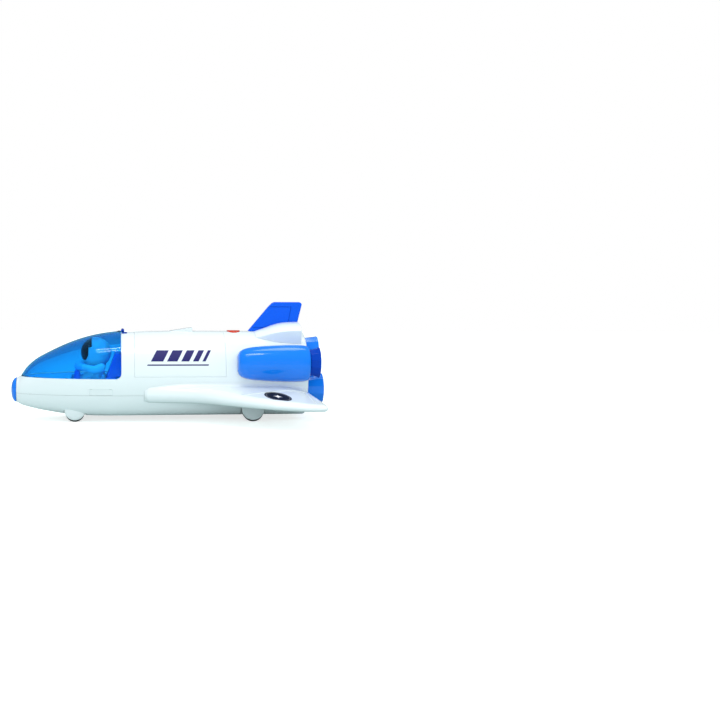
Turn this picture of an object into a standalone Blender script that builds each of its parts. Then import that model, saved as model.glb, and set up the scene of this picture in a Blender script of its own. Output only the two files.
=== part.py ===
"""Toy space shuttle on wheels: hollow hull, clear canopy over a toy astronaut, two bay doors.

The script's sizes are millimetres and MM turns them into metres. X is a station, the distance
behind the tip of the nose, and at() moves it so that the middle of the toy is at X = 0.
The nose points to -X, port is -Y, and the wheels stand on Z = 0.
"""

import math

import bmesh
import bpy
from mathutils import Matrix, Vector

MM = 0.001
LENGTH = 336.4
FIT = 0.3  # gap between neighbouring pieces
SHELL = 2.4  # wall of the hull and the doors
GLAZING = 1.5  # wall of the clear canopy
PLATE = 2.5  # wall of the liner and the bulkhead
SEAM = 29.6  # joint between the hull's upper and lower shells
CLEAR = 60.0  # cutters reach this far to the side, past the hull
ABOVE = 120.0  # and this high, past the hull's top

# station, half width, top, belly, height of the widest place
HULL = (
    (6.3, 12.9, 45.3, 19.6, 32.4),
    (10.7, 16.5, 47.9, 17.3, 33.6),
    (12.5, 17.9, 50.7, 16.6, 34.2),
    (17.0, 20.8, 57.0, 15.4, 35.6),
    (26.2, 25.8, 65.2, 13.3, 38.6),
    (39.9, 31.8, 73.0, 10.9, 42.2),
    (58.1, 37.8, 81.7, 8.3, 45.4),
    (76.3, 42.0, 88.4, 6.7, 46.9),
    (94.6, 44.6, 92.9, 6.1, 47.4),
    (117.0, 45.8, 96.0, 6.0, 47.4),
    (117.4, 45.8, 94.3, 6.0, 47.4),
    (140.0, 46.0, 95.3, 6.0, 47.4),
    (170.0, 46.0, 96.0, 6.0, 47.4),
    (314.6, 46.0, 96.0, 6.0, 47.4),
    (317.4, 44.4, 94.4, 8.6, 47.4),
)
HULL_FRONT, HULL_END = HULL[0][0], HULL[-1][0]
UPPER_STEPS, LOWER_STEPS = 10, 8
BELLY_SHARE = 0.48  # share of the half width over which the belly is flat
NOSE_STEPS = 6

SILL, COCKPIT_REAR, COCKPIT_CORNER = 47.4, 117.0, 6.0
CANOPY_HINGE = (118.7, 0.0, 96.2)
NOTCH_AHEAD, NOTCH_BEHIND, NOTCH_HALF, NOTCH_DEPTH = 3.0, 5.0, 9.4, 3.2
LUG_HALF, LUG_RADIUS = 3.6, 1.5
KNUCKLE_Y, KNUCKLE_HALF, KNUCKLE_RADIUS = 6.4, 2.4, 1.7
# lowest and highest corner, from the hinge's axis: station, height
LUG_ARM = ((-5.0, -2.2), (-0.9, -0.4))
HINGE_FOOT = ((-0.6, -2.9), (4.6, -2.0))
HINGE_EAR = ((-0.5, -2.5), (1.6, 0.0))
HINGE_SPARE = 0.4  # room left in the notch at each end of the foot

BAY_FRONT, BAY_REAR = 131.0, 228.0
DOOR_FOOT, DOOR_HINGE_Y = 49.7, 46.1
BAY_FLOOR = 36.0
TAB_FRONT, TAB_REAR, TAB_INNER, TAB_HALF = 170.0, 194.2, 0.4, 6.0
TAB_FOOT, TAB_BROW, TAB_TOP, TAB_LEVEL = 94.0, 96.2, 99.8, 1.2  # three heights, and the length of its top

HATCH = (84.0, 108.0)
HATCH_TOP, HATCH_DEPTH = 36.6, 0.9
BUTTON_STATION, BUTTON_HALF, BUTTON_RISE = 239.8, (7.2, 10.2), 0.8
BATTERY = (160.0, 222.0)
BATTERY_HALF, COVER_LOW, COVER_HIGH = 19.0, 6.0, 8.3
GRIP_INSET, GRIP_WIDTH, GRIP_HALF, GRIP_DEPTH = 3.0, 2.0, 6.0, 1.0  # slot for a finger in the cover
SPEAKER, SPEAKER_RADIUS = 118.0, 13.0
SLOTS, SLOT_PITCH, SLOT_HALF, SLOT_RING = 5, 4.4, 0.9, 10.5

# station, half track to the outer face, radius, width
WHEELS = {
    "front": (68.3, 26.6, 10.1, 7.0),
    "rear": (258.4, 36.8, 11.6, 8.0),
}
AXLE_RADIUS, AXLE_INSET = 1.5, 0.6
WHEEL_ROOM = 1.4  # clearance round a wheel in its well
TREAD_ROUND = 1.0
SPAT_WIDTH, SPAT_LIFT, SPAT_OVER = 2.2, 1.4, 0.4  # thickness, rise of its centre, and reach past the wheel

# name: centre (y, z), first station, rim station, first radius, rim radius
BELLS = {
    "main_bell_top": ((0.0, 73.4), HULL_END + FIT, 334.0, 15.4, 17.2),
    "main_bell_port": ((-20.0, 34.0), HULL_END + FIT, LENGTH, 14.8, 17.2),
    "main_bell_starboard": ((20.0, 34.0), HULL_END + FIT, LENGTH, 14.8, 17.2),
    "pod_bell_port": ((-46.0, 65.0), HULL_END + FIT, 328.2, 15.2, 16.5),
    "pod_bell_starboard": ((46.0, 65.0), HULL_END + FIT, 328.2, 15.2, 16.5),
}
BELL_WALL, BELL_SIDES, BELL_TURN = 1.6, 12, math.radians(15)
BELL_WAIST, BELL_SWELL = 0.45, 0.35  # where the flare bends, and how much of it is done by there

POD_CENTRE = (45.0, 64.0)
# station, radius
POD = ((239.9, 8.0), (241.2, 11.4), (244.0, 14.2), (250.0, 16.6), (262.0, 18.3), (282.0, 19.5),
       (300.0, 20.0), (311.0, 19.5), (315.4, 18.6), (317.0, 17.0))

WING_ROOT, WING_ROOT_TOP, WING_ROOT_BOTTOM = 46.0, 40.0, 21.8
WING_FALL, WING_RISE = 0.15, -0.018  # slope of the top and of the bottom towards the tip
WING_EDGE, WING_TAIL = 8.6, 5.0  # rounding of the leading and of the trailing edge
WING_LIP = 0.5  # half the thickness left at an edge
WING_FILLET, FILLET_RUN = 4.0, 40.0  # swelling where the wing meets the hull, and the run in which it starts
DROOP, DROOP_FROM, DROOP_LENGTH = 6.0, 285.0, 32.0  # the wing's top falls towards the tail by the root
DROOP_SPAN = 90.0
# distance from the centreline, station of the leading edge, station of the trailing edge
WING = (
    (40.0, 140.8, 316.4),
    (46.0, 141.4, 317.0),
    (47.0, 142.6, 317.2),
    (48.5, 145.0, 317.6),
    (50.5, 158.0, 318.0),
    (53.5, 177.0, 318.6),
    (57.0, 192.0, 319.2),
    (67.0, 209.0, 321.0),
    (78.0, 224.0, 322.8),
    (90.0, 241.0, 324.4),
    (99.0, 255.0, 325.2),
    (108.0, 270.0, 325.6),
    (115.0, 286.0, 325.4),
    (119.3, 301.0, 324.2),
    (121.0, 309.0, 320.0),
)
WING_CHORD = (0.0, 0.015, 0.05, 0.11, 0.2, 0.34, 0.5, 0.66, 0.8, 0.9, 0.965, 0.99, 1.0)
# station and distance from the centreline of the shallow recess's corners
RECESS = ((240.0, 80.0), (311.0, 56.0), (316.0, 112.0), (301.0, 110.5), (286.0, 106.5), (270.0, 99.5),
          (255.0, 91.0))
RECESS_DEPTH, RECESS_FOOT = 0.8, 25.8  # its depth, and the height inside the wing where its cutter starts

FIN_HALF, FIN_ROUND = 3.5, 1.2
# station, height
FIN = ((256.0, 96.0), (278.6, 123.0), (283.0, 127.3), (285.5, 128.3), (313.5, 128.4),
       (315.7, 127.4), (316.1, 125.6), (311.5, 106.2), (310.4, 94.0), (256.0, 90.0))

FAIRING_INNER = FIN_HALF + 0.8
FAIRING_DEPTH = 12.0  # the lofted block reaches this far down, into the hull that it is cut to
FAIRING_CROWN = (0.36, 0.15)  # share of the width that stays level, and its fall there
FAIRING_BOW = 3.2
# station, top, crease (y, z), foot (y, z)
FAIRING = (
    (262.0, 95.9, (22.0, 90.5), (22.4, 89.4)),
    (268.0, 98.0, (24.5, 91.6), (24.0, 88.6)),
    (275.0, 100.4, (27.6, 93.9), (26.0, 87.3)),
    (282.0, 103.0, (30.2, 95.9), (27.9, 86.0)),
    (290.0, 105.2, (32.2, 97.4), (29.2, 85.0)),
    (300.0, 106.4, (33.6, 98.4), (30.0, 84.3)),
    (311.3, 106.7, (34.3, 98.8), (30.5, 84.0)),
)

DECK, TUB_FLOOR, TUB_BOTTOM = 46.4, 36.0, 33.0
TUB_FRONT, WELL, WELL_HALF = 14.0, (64.0, 112.0), 25.0
# outlines in the side view: station, height
SEAT_BACK = ((98.5, TUB_FLOOR + FIT), (111.5, TUB_FLOOR + FIT), (111.5, 47.0), (115.0, 47.0), (115.0, 71.6),
             (113.4, 73.6), (110.6, 73.6), (108.4, 64.0), (102.5, 50.0), (99.5, 42.0))
SEAT_PAN = ((79.0, TUB_FLOOR + FIT), (104.0, TUB_FLOOR + FIT), (104.0, 42.0), (79.0, 41.0))
SEAT_HALF, PAN_HALF = 19.0, 17.0
YOKE = ((67.0, TUB_FLOOR + FIT), (72.0, TUB_FLOOR + FIT), (73.5, 46.0), (72.5, 53.3), (67.5, 53.3),
        (66.8, 46.0))
YOKE_HALF, YOKE_GAP, YOKE_FORK = 10.0, 4.0, 46.0

HELMET_CENTRE, HELMET_RADIUS = (90.0, 0.0, 72.4), 16.4
NECK = 59.2
# outline in the side view of the part of the helmet that the visor takes up: station, height
VISOR = ((60.0, 64.6), (79.4, 64.6), (82.2, 69.6), (82.6, 77.9), (86.2, 79.2), (85.4, 90.5), (60.0, 90.5))
VISOR_GAP = 0.35  # the visor lies this far forward and up from the edge of that outline
# height, station of the middle, half depth, half width
TORSO = ((42.6, 91.5, 6.6, 12.0), (48.0, 91.5, 7.0, 13.4), (54.0, 92.5, 7.4, 15.0), (57.6, 92.5, 6.2, 12.5),
         (58.8, 91.6, 5.0, 7.0))
THIGH = ((96.0, 42.6), (96.0, 49.4), (82.0, 50.6), (77.6, 48.4), (77.0, 43.0))
THIGH_INNER, THIGH_OUTER, LAP_FRONT, LAP_TOP = 1.6, 9.6, 86.0, 48.6
# shoulder, elbow, wrist and hand: station, distance from the centreline, height
ARM = ((96.0, 19.6, 58.0), (87.0, 20.2, 56.4), (77.5, 15.0, 57.0), (71.0, 7.6, 58.0))
ARM_RADIUS, ARM_SIDES = 4.2, 10

# colour, roughness, metallic
WHITE = ((0.86, 0.90, 0.92, 1.0), 0.22, 0.0)
LINER_GREY = ((0.55, 0.60, 0.64, 1.0), 0.45, 0.0)
BRIGHT_BLUE = ((0.02, 0.22, 0.85, 1.0), 0.2, 0.0)
FIN_BLUE = ((0.01, 0.13, 0.75, 1.0), 0.35, 0.0)
DARK_BLUE = ((0.01, 0.07, 0.42, 1.0), 0.25, 0.0)
CLEAR_BLUE = ((0.02, 0.28, 0.75, 0.4), 0.05, 0.0)
BLACK = ((0.02, 0.02, 0.025, 1.0), 0.6, 0.0)
VISOR_BLACK = ((0.01, 0.012, 0.02, 1.0), 0.08, 0.0)
RED = ((0.85, 0.07, 0.02, 1.0), 0.25, 0.0)
STEEL = ((0.6, 0.6, 0.62, 1.0), 0.3, 1.0)
SMOOTH_ANGLE = math.radians(35)

AXES = {
    "X": (Vector((1, 0, 0)), Vector((0, 1, 0)), Vector((0, 0, 1))),
    "Y": (Vector((0, 1, 0)), Vector((1, 0, 0)), Vector((0, 0, 1))),
    "Z": (Vector((0, 0, 1)), Vector((1, 0, 0)), Vector((0, 1, 0))),
}
SIDES = ((-1, "port"), (1, "starboard"))


def at(x, y, z):
    """The world point of a station, a distance from the centreline and a height."""
    return Vector(((x - LENGTH / 2) * MM, y * MM, z * MM))


def around(count, phase=0.0):
    """Evenly spaced angles of a whole turn."""
    return [phase + 2 * math.pi * i / count for i in range(count)]


def finished(name, mesh):
    """Makes the object of a bmesh, with its faces pointing out."""
    bmesh.ops.recalc_face_normals(mesh, faces=mesh.faces)
    data = bpy.data.meshes.new(name)
    mesh.to_mesh(data)
    mesh.free()
    obj = bpy.data.objects.new(name, data)
    bpy.context.scene.collection.objects.link(obj)
    return obj


def loft(name, rings, looped=False):
    """A closed skin through rings of equal count; a ring of one point is a tip.

    Its ends are flat, unless it is looped: then the last ring joins the first.
    """
    mesh = bmesh.new()
    loops = [[mesh.verts.new(place) for place in ring] for ring in rings]
    count = max(len(loop) for loop in loops)
    pairs = list(zip(loops, loops[1:]))
    if looped:
        pairs.append((loops[-1], loops[0]))
    for near, far in pairs:
        for i in range(count):
            j = (i + 1) % count
            corners = (near[i % len(near)], near[j % len(near)], far[j % len(far)], far[i % len(far)])
            mesh.faces.new(list(dict.fromkeys(corners)))
    if not looped:
        for end in (loops[0], loops[-1]):
            if len(end) > 1:
                mesh.faces.new(end)
    return finished(name, mesh)


def block(name, low, high):
    """A box from its lowest to its highest corner."""
    mesh = bmesh.new()
    bmesh.ops.create_cube(mesh, size=1.0)
    size = [(b - a) * MM for a, b in zip(low, high)]
    middle = at(*[(a + b) / 2 for a, b in zip(low, high)])
    place = Matrix.Translation(middle) @ Matrix.Diagonal((*size, 1.0))
    bmesh.ops.transform(mesh, matrix=place, verts=mesh.verts)
    return finished(name, mesh)


def side_block(name, side, inner, outer, low, high):
    """A box on one side of the centreline: inner and outer are distances from it, low and high are (x, z)."""
    near, far = sorted((side * inner, side * outer))
    return block(name, (low[0], near, low[1]), (high[0], far, high[1]))


def side_prism(name, outline, low_y, high_y):
    """An outline in the side view, given as (station, height), drawn out across the toy."""
    return loft(name, [[at(x, y, z) for x, z in outline] for y in (low_y, high_y)])


def flat_prism(name, outline, low_z, high_z):
    """An outline seen from above, given as (station, y), drawn up."""
    return loft(name, [[at(x, y, z) for x, y in outline] for z in (low_z, high_z)])


def turned(name, centre, axis, profile, sides, phase=0.0):
    """A closed profile of (distance along the axis, radius) turned round an axis along X, Y or Z."""
    along, first, second = AXES[axis]
    rings = []
    for distance, radius in profile:
        middle = at(*centre) + along * distance * MM
        spokes = [first * math.cos(a) + second * math.sin(a) for a in around(sides, phase)]
        rings.append([middle + spoke * radius * MM for spoke in spokes] if radius else [middle])
    return loft(name, rings, looped=profile[0][1] > 0)


def helper(obj):
    """Keeps a cutter or a guide out of the model."""
    obj.hide_render = True
    obj.display_type = "WIRE"
    return obj


def shape(obj, operation, *others):
    """Cuts, joins or keeps what is common with each of the other objects."""
    for other in others:
        modifier = obj.modifiers.new(other.name, "BOOLEAN")
        modifier.operation = operation
        modifier.object = helper(other)
    return obj


def cut(obj, *cutters):
    return shape(obj, "DIFFERENCE", *cutters)


def join(obj, *pieces):
    return shape(obj, "UNION", *pieces)


def keep(obj, *regions):
    return shape(obj, "INTERSECT", *regions)


def rounded(obj, width, segments, angle=40):
    """Rounds the edges that turn by more than the angle."""
    modifier = obj.modifiers.new("rounded", "BEVEL")
    modifier.width = width * MM
    modifier.segments = segments
    modifier.limit_method = "ANGLE"
    modifier.angle_limit = math.radians(angle)
    return obj


def paint(obj, finish, smooth=True):
    """Gives the object its own material, and smooth shading where its faces bend gently."""
    colour, roughness, metallic = finish
    material = bpy.data.materials.new(obj.name)
    material.use_nodes = True
    shader = material.node_tree.nodes["Principled BSDF"]
    shader.inputs["Base Color"].default_value = colour
    shader.inputs["Roughness"].default_value = roughness
    shader.inputs["Metallic"].default_value = metallic
    shader.inputs["Alpha"].default_value = colour[3]
    obj.data.materials.append(material)
    if smooth:
        obj.data.shade_smooth()
        obj.data.set_sharp_from_angle(angle=SMOOTH_ANGLE)
    return obj


def hang(obj, pivot):
    """Puts the object's origin on its joint's axis, with its shape where it was."""
    place = at(*pivot)
    obj.data.transform(Matrix.Translation(-place))
    obj.location = place
    return obj


def hull_at(x):
    """The hull's row at a station, read between the rows of the table."""
    if x <= HULL_FRONT:
        return HULL[0][1:]
    for near, far in zip(HULL, HULL[1:]):
        if x <= far[0]:
            share = (x - near[0]) / (far[0] - near[0])
            return tuple(a + (b - a) * share for a, b in zip(near[1:], far[1:]))
    return HULL[-1][1:]


def hull_side(row, grow):
    """The port half of a cross-section from top to belly, as (distance from the centreline, height)."""
    half, top, belly, widest = row
    half, top, belly = half + grow, top + grow, belly - grow
    flat = BELLY_SHARE * half
    side = []
    for i in range(UPPER_STEPS):
        angle = math.pi / 2 * (1 - i / UPPER_STEPS)
        side.append((half * math.cos(angle), widest + (top - widest) * math.sin(angle)))
    for i in range(LOWER_STEPS + 1):
        angle = math.pi / 2 * i / LOWER_STEPS
        side.append((flat + (half - flat) * math.cos(angle), widest - (widest - belly) * math.sin(angle)))
    return side


def hull_ring(x, row, grow=0.0):
    """A whole cross-section: round above, and fuller below with a flat belly."""
    side = hull_side(row, grow)
    other_side = [(-y, z) for y, z in reversed(side[1:])]
    return [at(x, y, z) for y, z in side + other_side]


def hull_form(name, grow, first=None, last=None):
    """The hull's outer shape, grown or shrunk, with its ends where they are asked for."""
    first = HULL_FRONT - max(grow, 0) if first is None else first
    last = HULL_END + max(grow, 0) if last is None else last
    rows = [(first, hull_at(first))]
    rows += [(row[0], row[1:]) for row in HULL if first < row[0] < last]
    rows.append((last, hull_at(last)))
    return loft(name, [hull_ring(x, row, grow) for x, row in rows])


def cockpit_outline(inset):
    """The cockpit opening in side view: straight, with a round lower corner at the back."""
    low, rear, radius, ahead = SILL + inset, COCKPIT_REAR + FIT - inset, COCKPIT_CORNER, -5.0
    outline = [(ahead, low), (rear - radius, low)]
    for i in range(1, 6):
        angle = math.pi / 2 * i / 6
        outline.append((rear - radius + radius * math.sin(angle), low + radius - radius * math.cos(angle)))
    outline += [(rear, low + radius), (rear, ABOVE), (ahead, ABOVE)]
    return outline


def hinge_notch(name):
    """The cut in the hull and the canopy that the hinge lies in."""
    x, _, z = CANOPY_HINGE
    return block(name, (x - NOTCH_AHEAD, -NOTCH_HALF, z - NOTCH_DEPTH), (x + NOTCH_BEHIND, NOTCH_HALF, ABOVE))


def hinge_block(name, corners, low_y, high_y):
    """A box whose lowest and highest corners are given from the canopy hinge's axis, as (station, height)."""
    x, _, z = CANOPY_HINGE
    (first, low), (last, high) = corners
    return block(name, (x + first, low_y, z + low), (x + last, high_y, z + high))


def button_outline(gap):
    half_x, half_y = BUTTON_HALF
    return [(BUTTON_STATION + (half_x + gap) * math.cos(a), (half_y + gap) * math.sin(a)) for a in around(20)]


def make_upper_hull():
    hull = hull_form("hull_upper", 0.0)
    cut(hull, hull_form("hull_upper_inside", -SHELL, first=HULL_FRONT + SHELL, last=HULL_END + SHELL))
    keep(hull, block("hull_upper_region", (0, -CLEAR, SEAM + FIT), (LENGTH, CLEAR, ABOVE)))
    cut(hull, side_prism("cockpit_opening", cockpit_outline(0.0), -CLEAR, CLEAR))
    cut(hull, block("bay_opening", (BAY_FRONT, -CLEAR, DOOR_FOOT), (BAY_REAR, CLEAR, ABOVE)))
    hatches = block("hatch_recess", (HATCH[0], -CLEAR, SEAM - PLATE), (HATCH[1], CLEAR, HATCH_TOP))
    cut(hatches, hull_form("hatch_floor", -HATCH_DEPTH))
    cut(hull, hatches)
    cut(hull, flat_prism("button_hole", button_outline(FIT), DOOR_FOOT, ABOVE))
    cut(hull, hinge_notch("hull_notch"))
    return paint(hull, WHITE)


def make_spat(hull, tag, side, x, track, radius):
    """A half-round cover over the outer face of a wheel, joined to the hull."""
    inner, outer = track + FIT, track + FIT + SPAT_WIDTH
    reach = radius + SPAT_OVER
    profile = [(inner, 0), (inner, reach), (outer - 1, reach), (outer, reach - 1), (outer, 0)]
    profile = [(side * distance, size) for distance, size in profile]
    join(hull, turned(f"spat_{tag}", (x, 0, radius + SPAT_LIFT), "Y", profile, 28))


def cut_well(hull, tag, side, x, track, radius, width):
    """The room for a wheel, open at the belly."""
    room = radius + WHEEL_ROOM
    inner, outer = track - width - 2.5 * FIT, track + FIT + 0.1
    cut(hull, side_block(f"well_{tag}", side, inner, outer, (x - room, -2), (x + room, radius + room)))


def cut_axle_tunnel(hull, name, x, track, radius):
    bore = AXLE_RADIUS + FIT
    profile = [(-track, 0), (-track, bore), (track, bore), (track, 0)]
    cut(hull, turned(f"tunnel_{name}", (x, 0, radius), "Y", profile, 12))


def make_lower_hull():
    hull = hull_form("hull_lower", 0.0)
    keep(hull, block("hull_lower_region", (0, -CLEAR, 0), (LENGTH, CLEAR, SEAM)))
    for name, (x, track, radius, _) in WHEELS.items():
        for side, tag in SIDES:
            make_spat(hull, f"{name}_{tag}", side, x, track, radius)
    for name, (x, track, radius, width) in WHEELS.items():
        for side, tag in SIDES:
            cut_well(hull, f"{name}_{tag}", side, x, track, radius, width)
        cut_axle_tunnel(hull, name, x, track, radius)
    half, deep = BATTERY_HALF + FIT, COVER_HIGH + FIT
    cut(hull, block("battery_recess", (BATTERY[0] - FIT, -half, 0), (BATTERY[1] + FIT, half, deep)))
    bore = SPEAKER_RADIUS + FIT
    cut(hull, turned("speaker_recess", (SPEAKER, 0, 0), "Z", [(0, 0), (0, bore), (deep, bore), (deep, 0)], 24))
    return paint(hull, WHITE)


def make_covers():
    low, high = (BATTERY[0], -BATTERY_HALF, COVER_LOW), (BATTERY[1], BATTERY_HALF, COVER_HIGH)
    cover = block("battery_cover", low, high)
    grip = BATTERY[0] + GRIP_INSET
    cut(cover, block("cover_grip", (grip, -GRIP_HALF, 0),
                     (grip + GRIP_WIDTH, GRIP_HALF, COVER_LOW + GRIP_DEPTH)))
    paint(cover, WHITE)
    thick = COVER_HIGH - COVER_LOW
    profile = [(0, 0), (0, SPEAKER_RADIUS), (thick, SPEAKER_RADIUS), (thick, 0)]
    grille = turned("speaker_grille", (SPEAKER, 0, COVER_LOW), "Z", profile, 24)
    for i in range(SLOTS):
        y = (i - (SLOTS - 1) / 2) * SLOT_PITCH
        reach = math.sqrt(SLOT_RING ** 2 - y ** 2)
        low, high = (SPEAKER - reach, y - SLOT_HALF, 0), (SPEAKER + reach, y + SLOT_HALF, 2 * COVER_HIGH)
        cut(grille, block(f"grille_slot_{i}", low, high))
    paint(grille, WHITE)


def make_bulkhead():
    """The plate that closes the tail, let into the end of the upper hull."""
    face = HULL_END - 0.4
    plate = hull_form("rear_bulkhead", -SHELL - FIT, first=face - PLATE, last=face)
    keep(plate, block("bulkhead_region", (BAY_REAR, -CLEAR, SEAM + 2 * FIT), (LENGTH, CLEAR, ABOVE)))
    return paint(plate, WHITE)


def make_nose_cap():
    """A dome whose rings are the hull's first section made smaller."""
    depth = HULL_FRONT - FIT
    side = hull_ring(0.0, HULL[0][1:])
    middle = at(0.0, 0.0, HULL[0][4])
    rings = [[middle]]
    for i in range(1, NOSE_STEPS + 1):
        angle = math.pi / 2 * i / NOSE_STEPS
        shift = Vector((depth * (1 - math.cos(angle)) * MM, 0, 0))
        rings.append([middle + shift + (place - middle) * math.sin(angle) for place in side])
    return paint(loft("nose_cap", rings), BRIGHT_BLUE)


def make_canopy():
    canopy = hull_form("canopy", 0.0)
    cut(canopy, hull_form("canopy_inside", -GLAZING, first=HULL_FRONT + GLAZING, last=HULL_END + SHELL))
    keep(canopy, side_prism("canopy_region", cockpit_outline(FIT), -CLEAR, CLEAR))
    cut(canopy, hinge_notch("canopy_notch"))
    profile = [(-LUG_HALF, 0), (-LUG_HALF, LUG_RADIUS), (LUG_HALF, LUG_RADIUS), (LUG_HALF, 0)]
    lug = turned("canopy_lug", CANOPY_HINGE, "Y", profile, 16)
    join(canopy, lug, hinge_block("canopy_arm", LUG_ARM, -LUG_HALF, LUG_HALF))
    hang(canopy, CANOPY_HINGE)
    return paint(canopy, CLEAR_BLUE)


def make_canopy_hinge():
    """The bracket in the notch: a foot with two ears, and the lug turns between them."""
    x, _, z = CANOPY_HINGE
    half = NOTCH_HALF - HINGE_SPARE
    base = hinge_block("canopy_hinge", HINGE_FOOT, -half, half)
    ear_inner, ear_outer = KNUCKLE_Y - KNUCKLE_HALF, KNUCKLE_Y + KNUCKLE_HALF
    for side, tag in SIDES:
        profile = [(-KNUCKLE_HALF, 0), (-KNUCKLE_HALF, KNUCKLE_RADIUS), (KNUCKLE_HALF, KNUCKLE_RADIUS),
                   (KNUCKLE_HALF, 0)]
        join(base, turned(f"hinge_knuckle_{tag}", (x, side * KNUCKLE_Y, z), "Y", profile, 16))
        join(base, hinge_block(f"hinge_ear_{tag}", HINGE_EAR, *sorted((side * ear_inner, side * ear_outer))))
    return paint(base, DARK_BLUE)


def make_cockpit():
    tub = hull_form("cockpit_tub", -SHELL - FIT - 0.1, first=TUB_FRONT, last=COCKPIT_REAR - 2 * FIT)
    keep(tub, block("tub_region", (0, -CLEAR, TUB_BOTTOM), (LENGTH, CLEAR, DECK)))
    cut(tub, block("seat_well", (WELL[0], -WELL_HALF, TUB_FLOOR), (WELL[1], WELL_HALF, ABOVE)))
    paint(tub, BRIGHT_BLUE)
    seat = side_prism("seat", SEAT_BACK, -SEAT_HALF, SEAT_HALF)
    join(seat, side_prism("seat_pan", SEAT_PAN, -PAN_HALF, PAN_HALF))
    paint(seat, DARK_BLUE)
    yoke = side_prism("control_yoke", YOKE, -YOKE_HALF, YOKE_HALF)
    cut(yoke, block("yoke_gap", (WELL[0], -YOKE_GAP, YOKE_FORK), (WELL[1], YOKE_GAP, ABOVE)))
    paint(yoke, DARK_BLUE)


def ball(name, radius):
    """The round of the helmet, from its lowest to its highest point."""
    steps = 12
    profile = []
    for i in range(steps + 1):
        angle = math.pi * i / steps
        profile.append((-radius * math.cos(angle), radius * math.sin(angle) if 0 < i < steps else 0))
    return turned(name, HELMET_CENTRE, "Z", profile, 24)


def limb(name, route, radius):
    """A round limb along a short route, with a smaller ring past each end."""
    points = [at(*place) for place in route]
    rings = []
    for i, place in enumerate(points):
        ahead = points[min(i + 1, len(points) - 1)] - points[max(i - 1, 0)]
        ahead.normalize()
        side = ahead.cross(Vector((0, 0, 1))).normalized()
        up = side.cross(ahead)
        sizes = [(0.0, radius)]
        if i == 0:
            sizes.insert(0, (-0.8 * radius, 0.55 * radius))
        if i == len(points) - 1:
            sizes.append((0.8 * radius, 0.55 * radius))
        for shift, reach in sizes:
            middle = place + ahead * shift * MM
            rings.append([middle + (side * math.cos(a) + up * math.sin(a)) * reach * MM
                          for a in around(ARM_SIDES)])
    return loft(name, rings)


def make_astronaut():
    ahead = HELMET_CENTRE[0] - 2 * HELMET_RADIUS
    helmet = ball("astronaut_helmet", HELMET_RADIUS)
    cut(helmet, side_prism("visor_gap", VISOR, -CLEAR, CLEAR))
    cut(helmet, block("neck_cut", (ahead, -CLEAR, 0), (LENGTH, CLEAR, NECK)))
    paint(helmet, WHITE)
    visor = ball("astronaut_visor", HELMET_RADIUS - 0.2)
    region = [(x - VISOR_GAP, z + VISOR_GAP) for x, z in VISOR]
    keep(visor, side_prism("visor_region", region, -CLEAR, CLEAR))
    paint(visor, VISOR_BLACK)

    rings = []
    for height, middle, depth, width in TORSO:
        rings.append([at(middle + depth * math.cos(a), width * math.sin(a), height) for a in around(16)])
    torso = loft("astronaut_torso", rings)
    for side, tag in SIDES:
        low, high = sorted((side * THIGH_INNER, side * THIGH_OUTER))
        join(torso, side_prism(f"thigh_{tag}", THIGH, low, high))
    lap_rear = THIGH[0][0]
    join(torso, block("lap", (LAP_FRONT, -YOKE_GAP, TORSO[0][0]), (lap_rear, YOKE_GAP, LAP_TOP)))
    paint(torso, WHITE)

    for side, tag in SIDES:
        route = [(x, side * y, z) for x, y, z in ARM]
        paint(limb(f"astronaut_arm_{tag}", route, ARM_RADIUS), WHITE)


def make_bay():
    skin = -SHELL - FIT - 0.1
    liner = hull_form("bay_liner", skin, first=BAY_FRONT - PLATE, last=BAY_REAR + PLATE)
    front, rear = BAY_FRONT + 0.2, BAY_REAR - 0.2
    pocket = hull_form("bay_pocket", skin - PLATE, first=front, last=rear)
    keep(pocket, block("pocket_region", (0, -CLEAR, BAY_FLOOR), (LENGTH, CLEAR, ABOVE)))
    cut(liner, pocket)
    keep(liner, block("liner_region", (0, -CLEAR, BAY_FLOOR - PLATE), (LENGTH, CLEAR, ABOVE)))
    cut(liner, block("liner_mouth", (front, -CLEAR, DOOR_FOOT - 1.2), (rear, CLEAR, ABOVE)))
    paint(liner, LINER_GREY)


def make_bay_doors():
    """Each door is its half of the hull's skin over the bay, with a wedge to lift it by."""
    for side, tag in SIDES:
        door = hull_form(f"bay_door_{tag}", 0.0)
        cut(door, hull_form(f"bay_door_{tag}_inside", -SHELL))
        keep(door, side_block(f"bay_door_{tag}_region", side, 0.2, CLEAR,
                              (BAY_FRONT + FIT, DOOR_FOOT + FIT), (BAY_REAR - FIT, ABOVE)))
        near, far = sorted((side * TAB_INNER, side * TAB_HALF))
        wedge = ((TAB_FRONT, TAB_FOOT), (TAB_REAR, TAB_FOOT), (TAB_REAR, TAB_TOP),
                 (TAB_REAR - TAB_LEVEL, TAB_TOP), (TAB_FRONT, TAB_BROW))
        join(door, side_prism(f"finger_tab_{tag}", wedge, near, far))
        hang(door, (BAY_FRONT, side * DOOR_HINGE_Y, DOOR_FOOT))
        paint(door, WHITE)


def make_button():
    button = flat_prism("push_button", button_outline(0.0), 88.0, ABOVE)
    keep(button, hull_form("button_top", BUTTON_RISE))
    return paint(button, RED)


def make_fin():
    fin = side_prism("tail_fin", FIN, -FIN_HALF, FIN_HALF)
    rounded(fin, FIN_ROUND, 2)
    cut(fin, hull_form("fin_seat", FIT))
    return paint(fin, FIN_BLUE)


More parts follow.
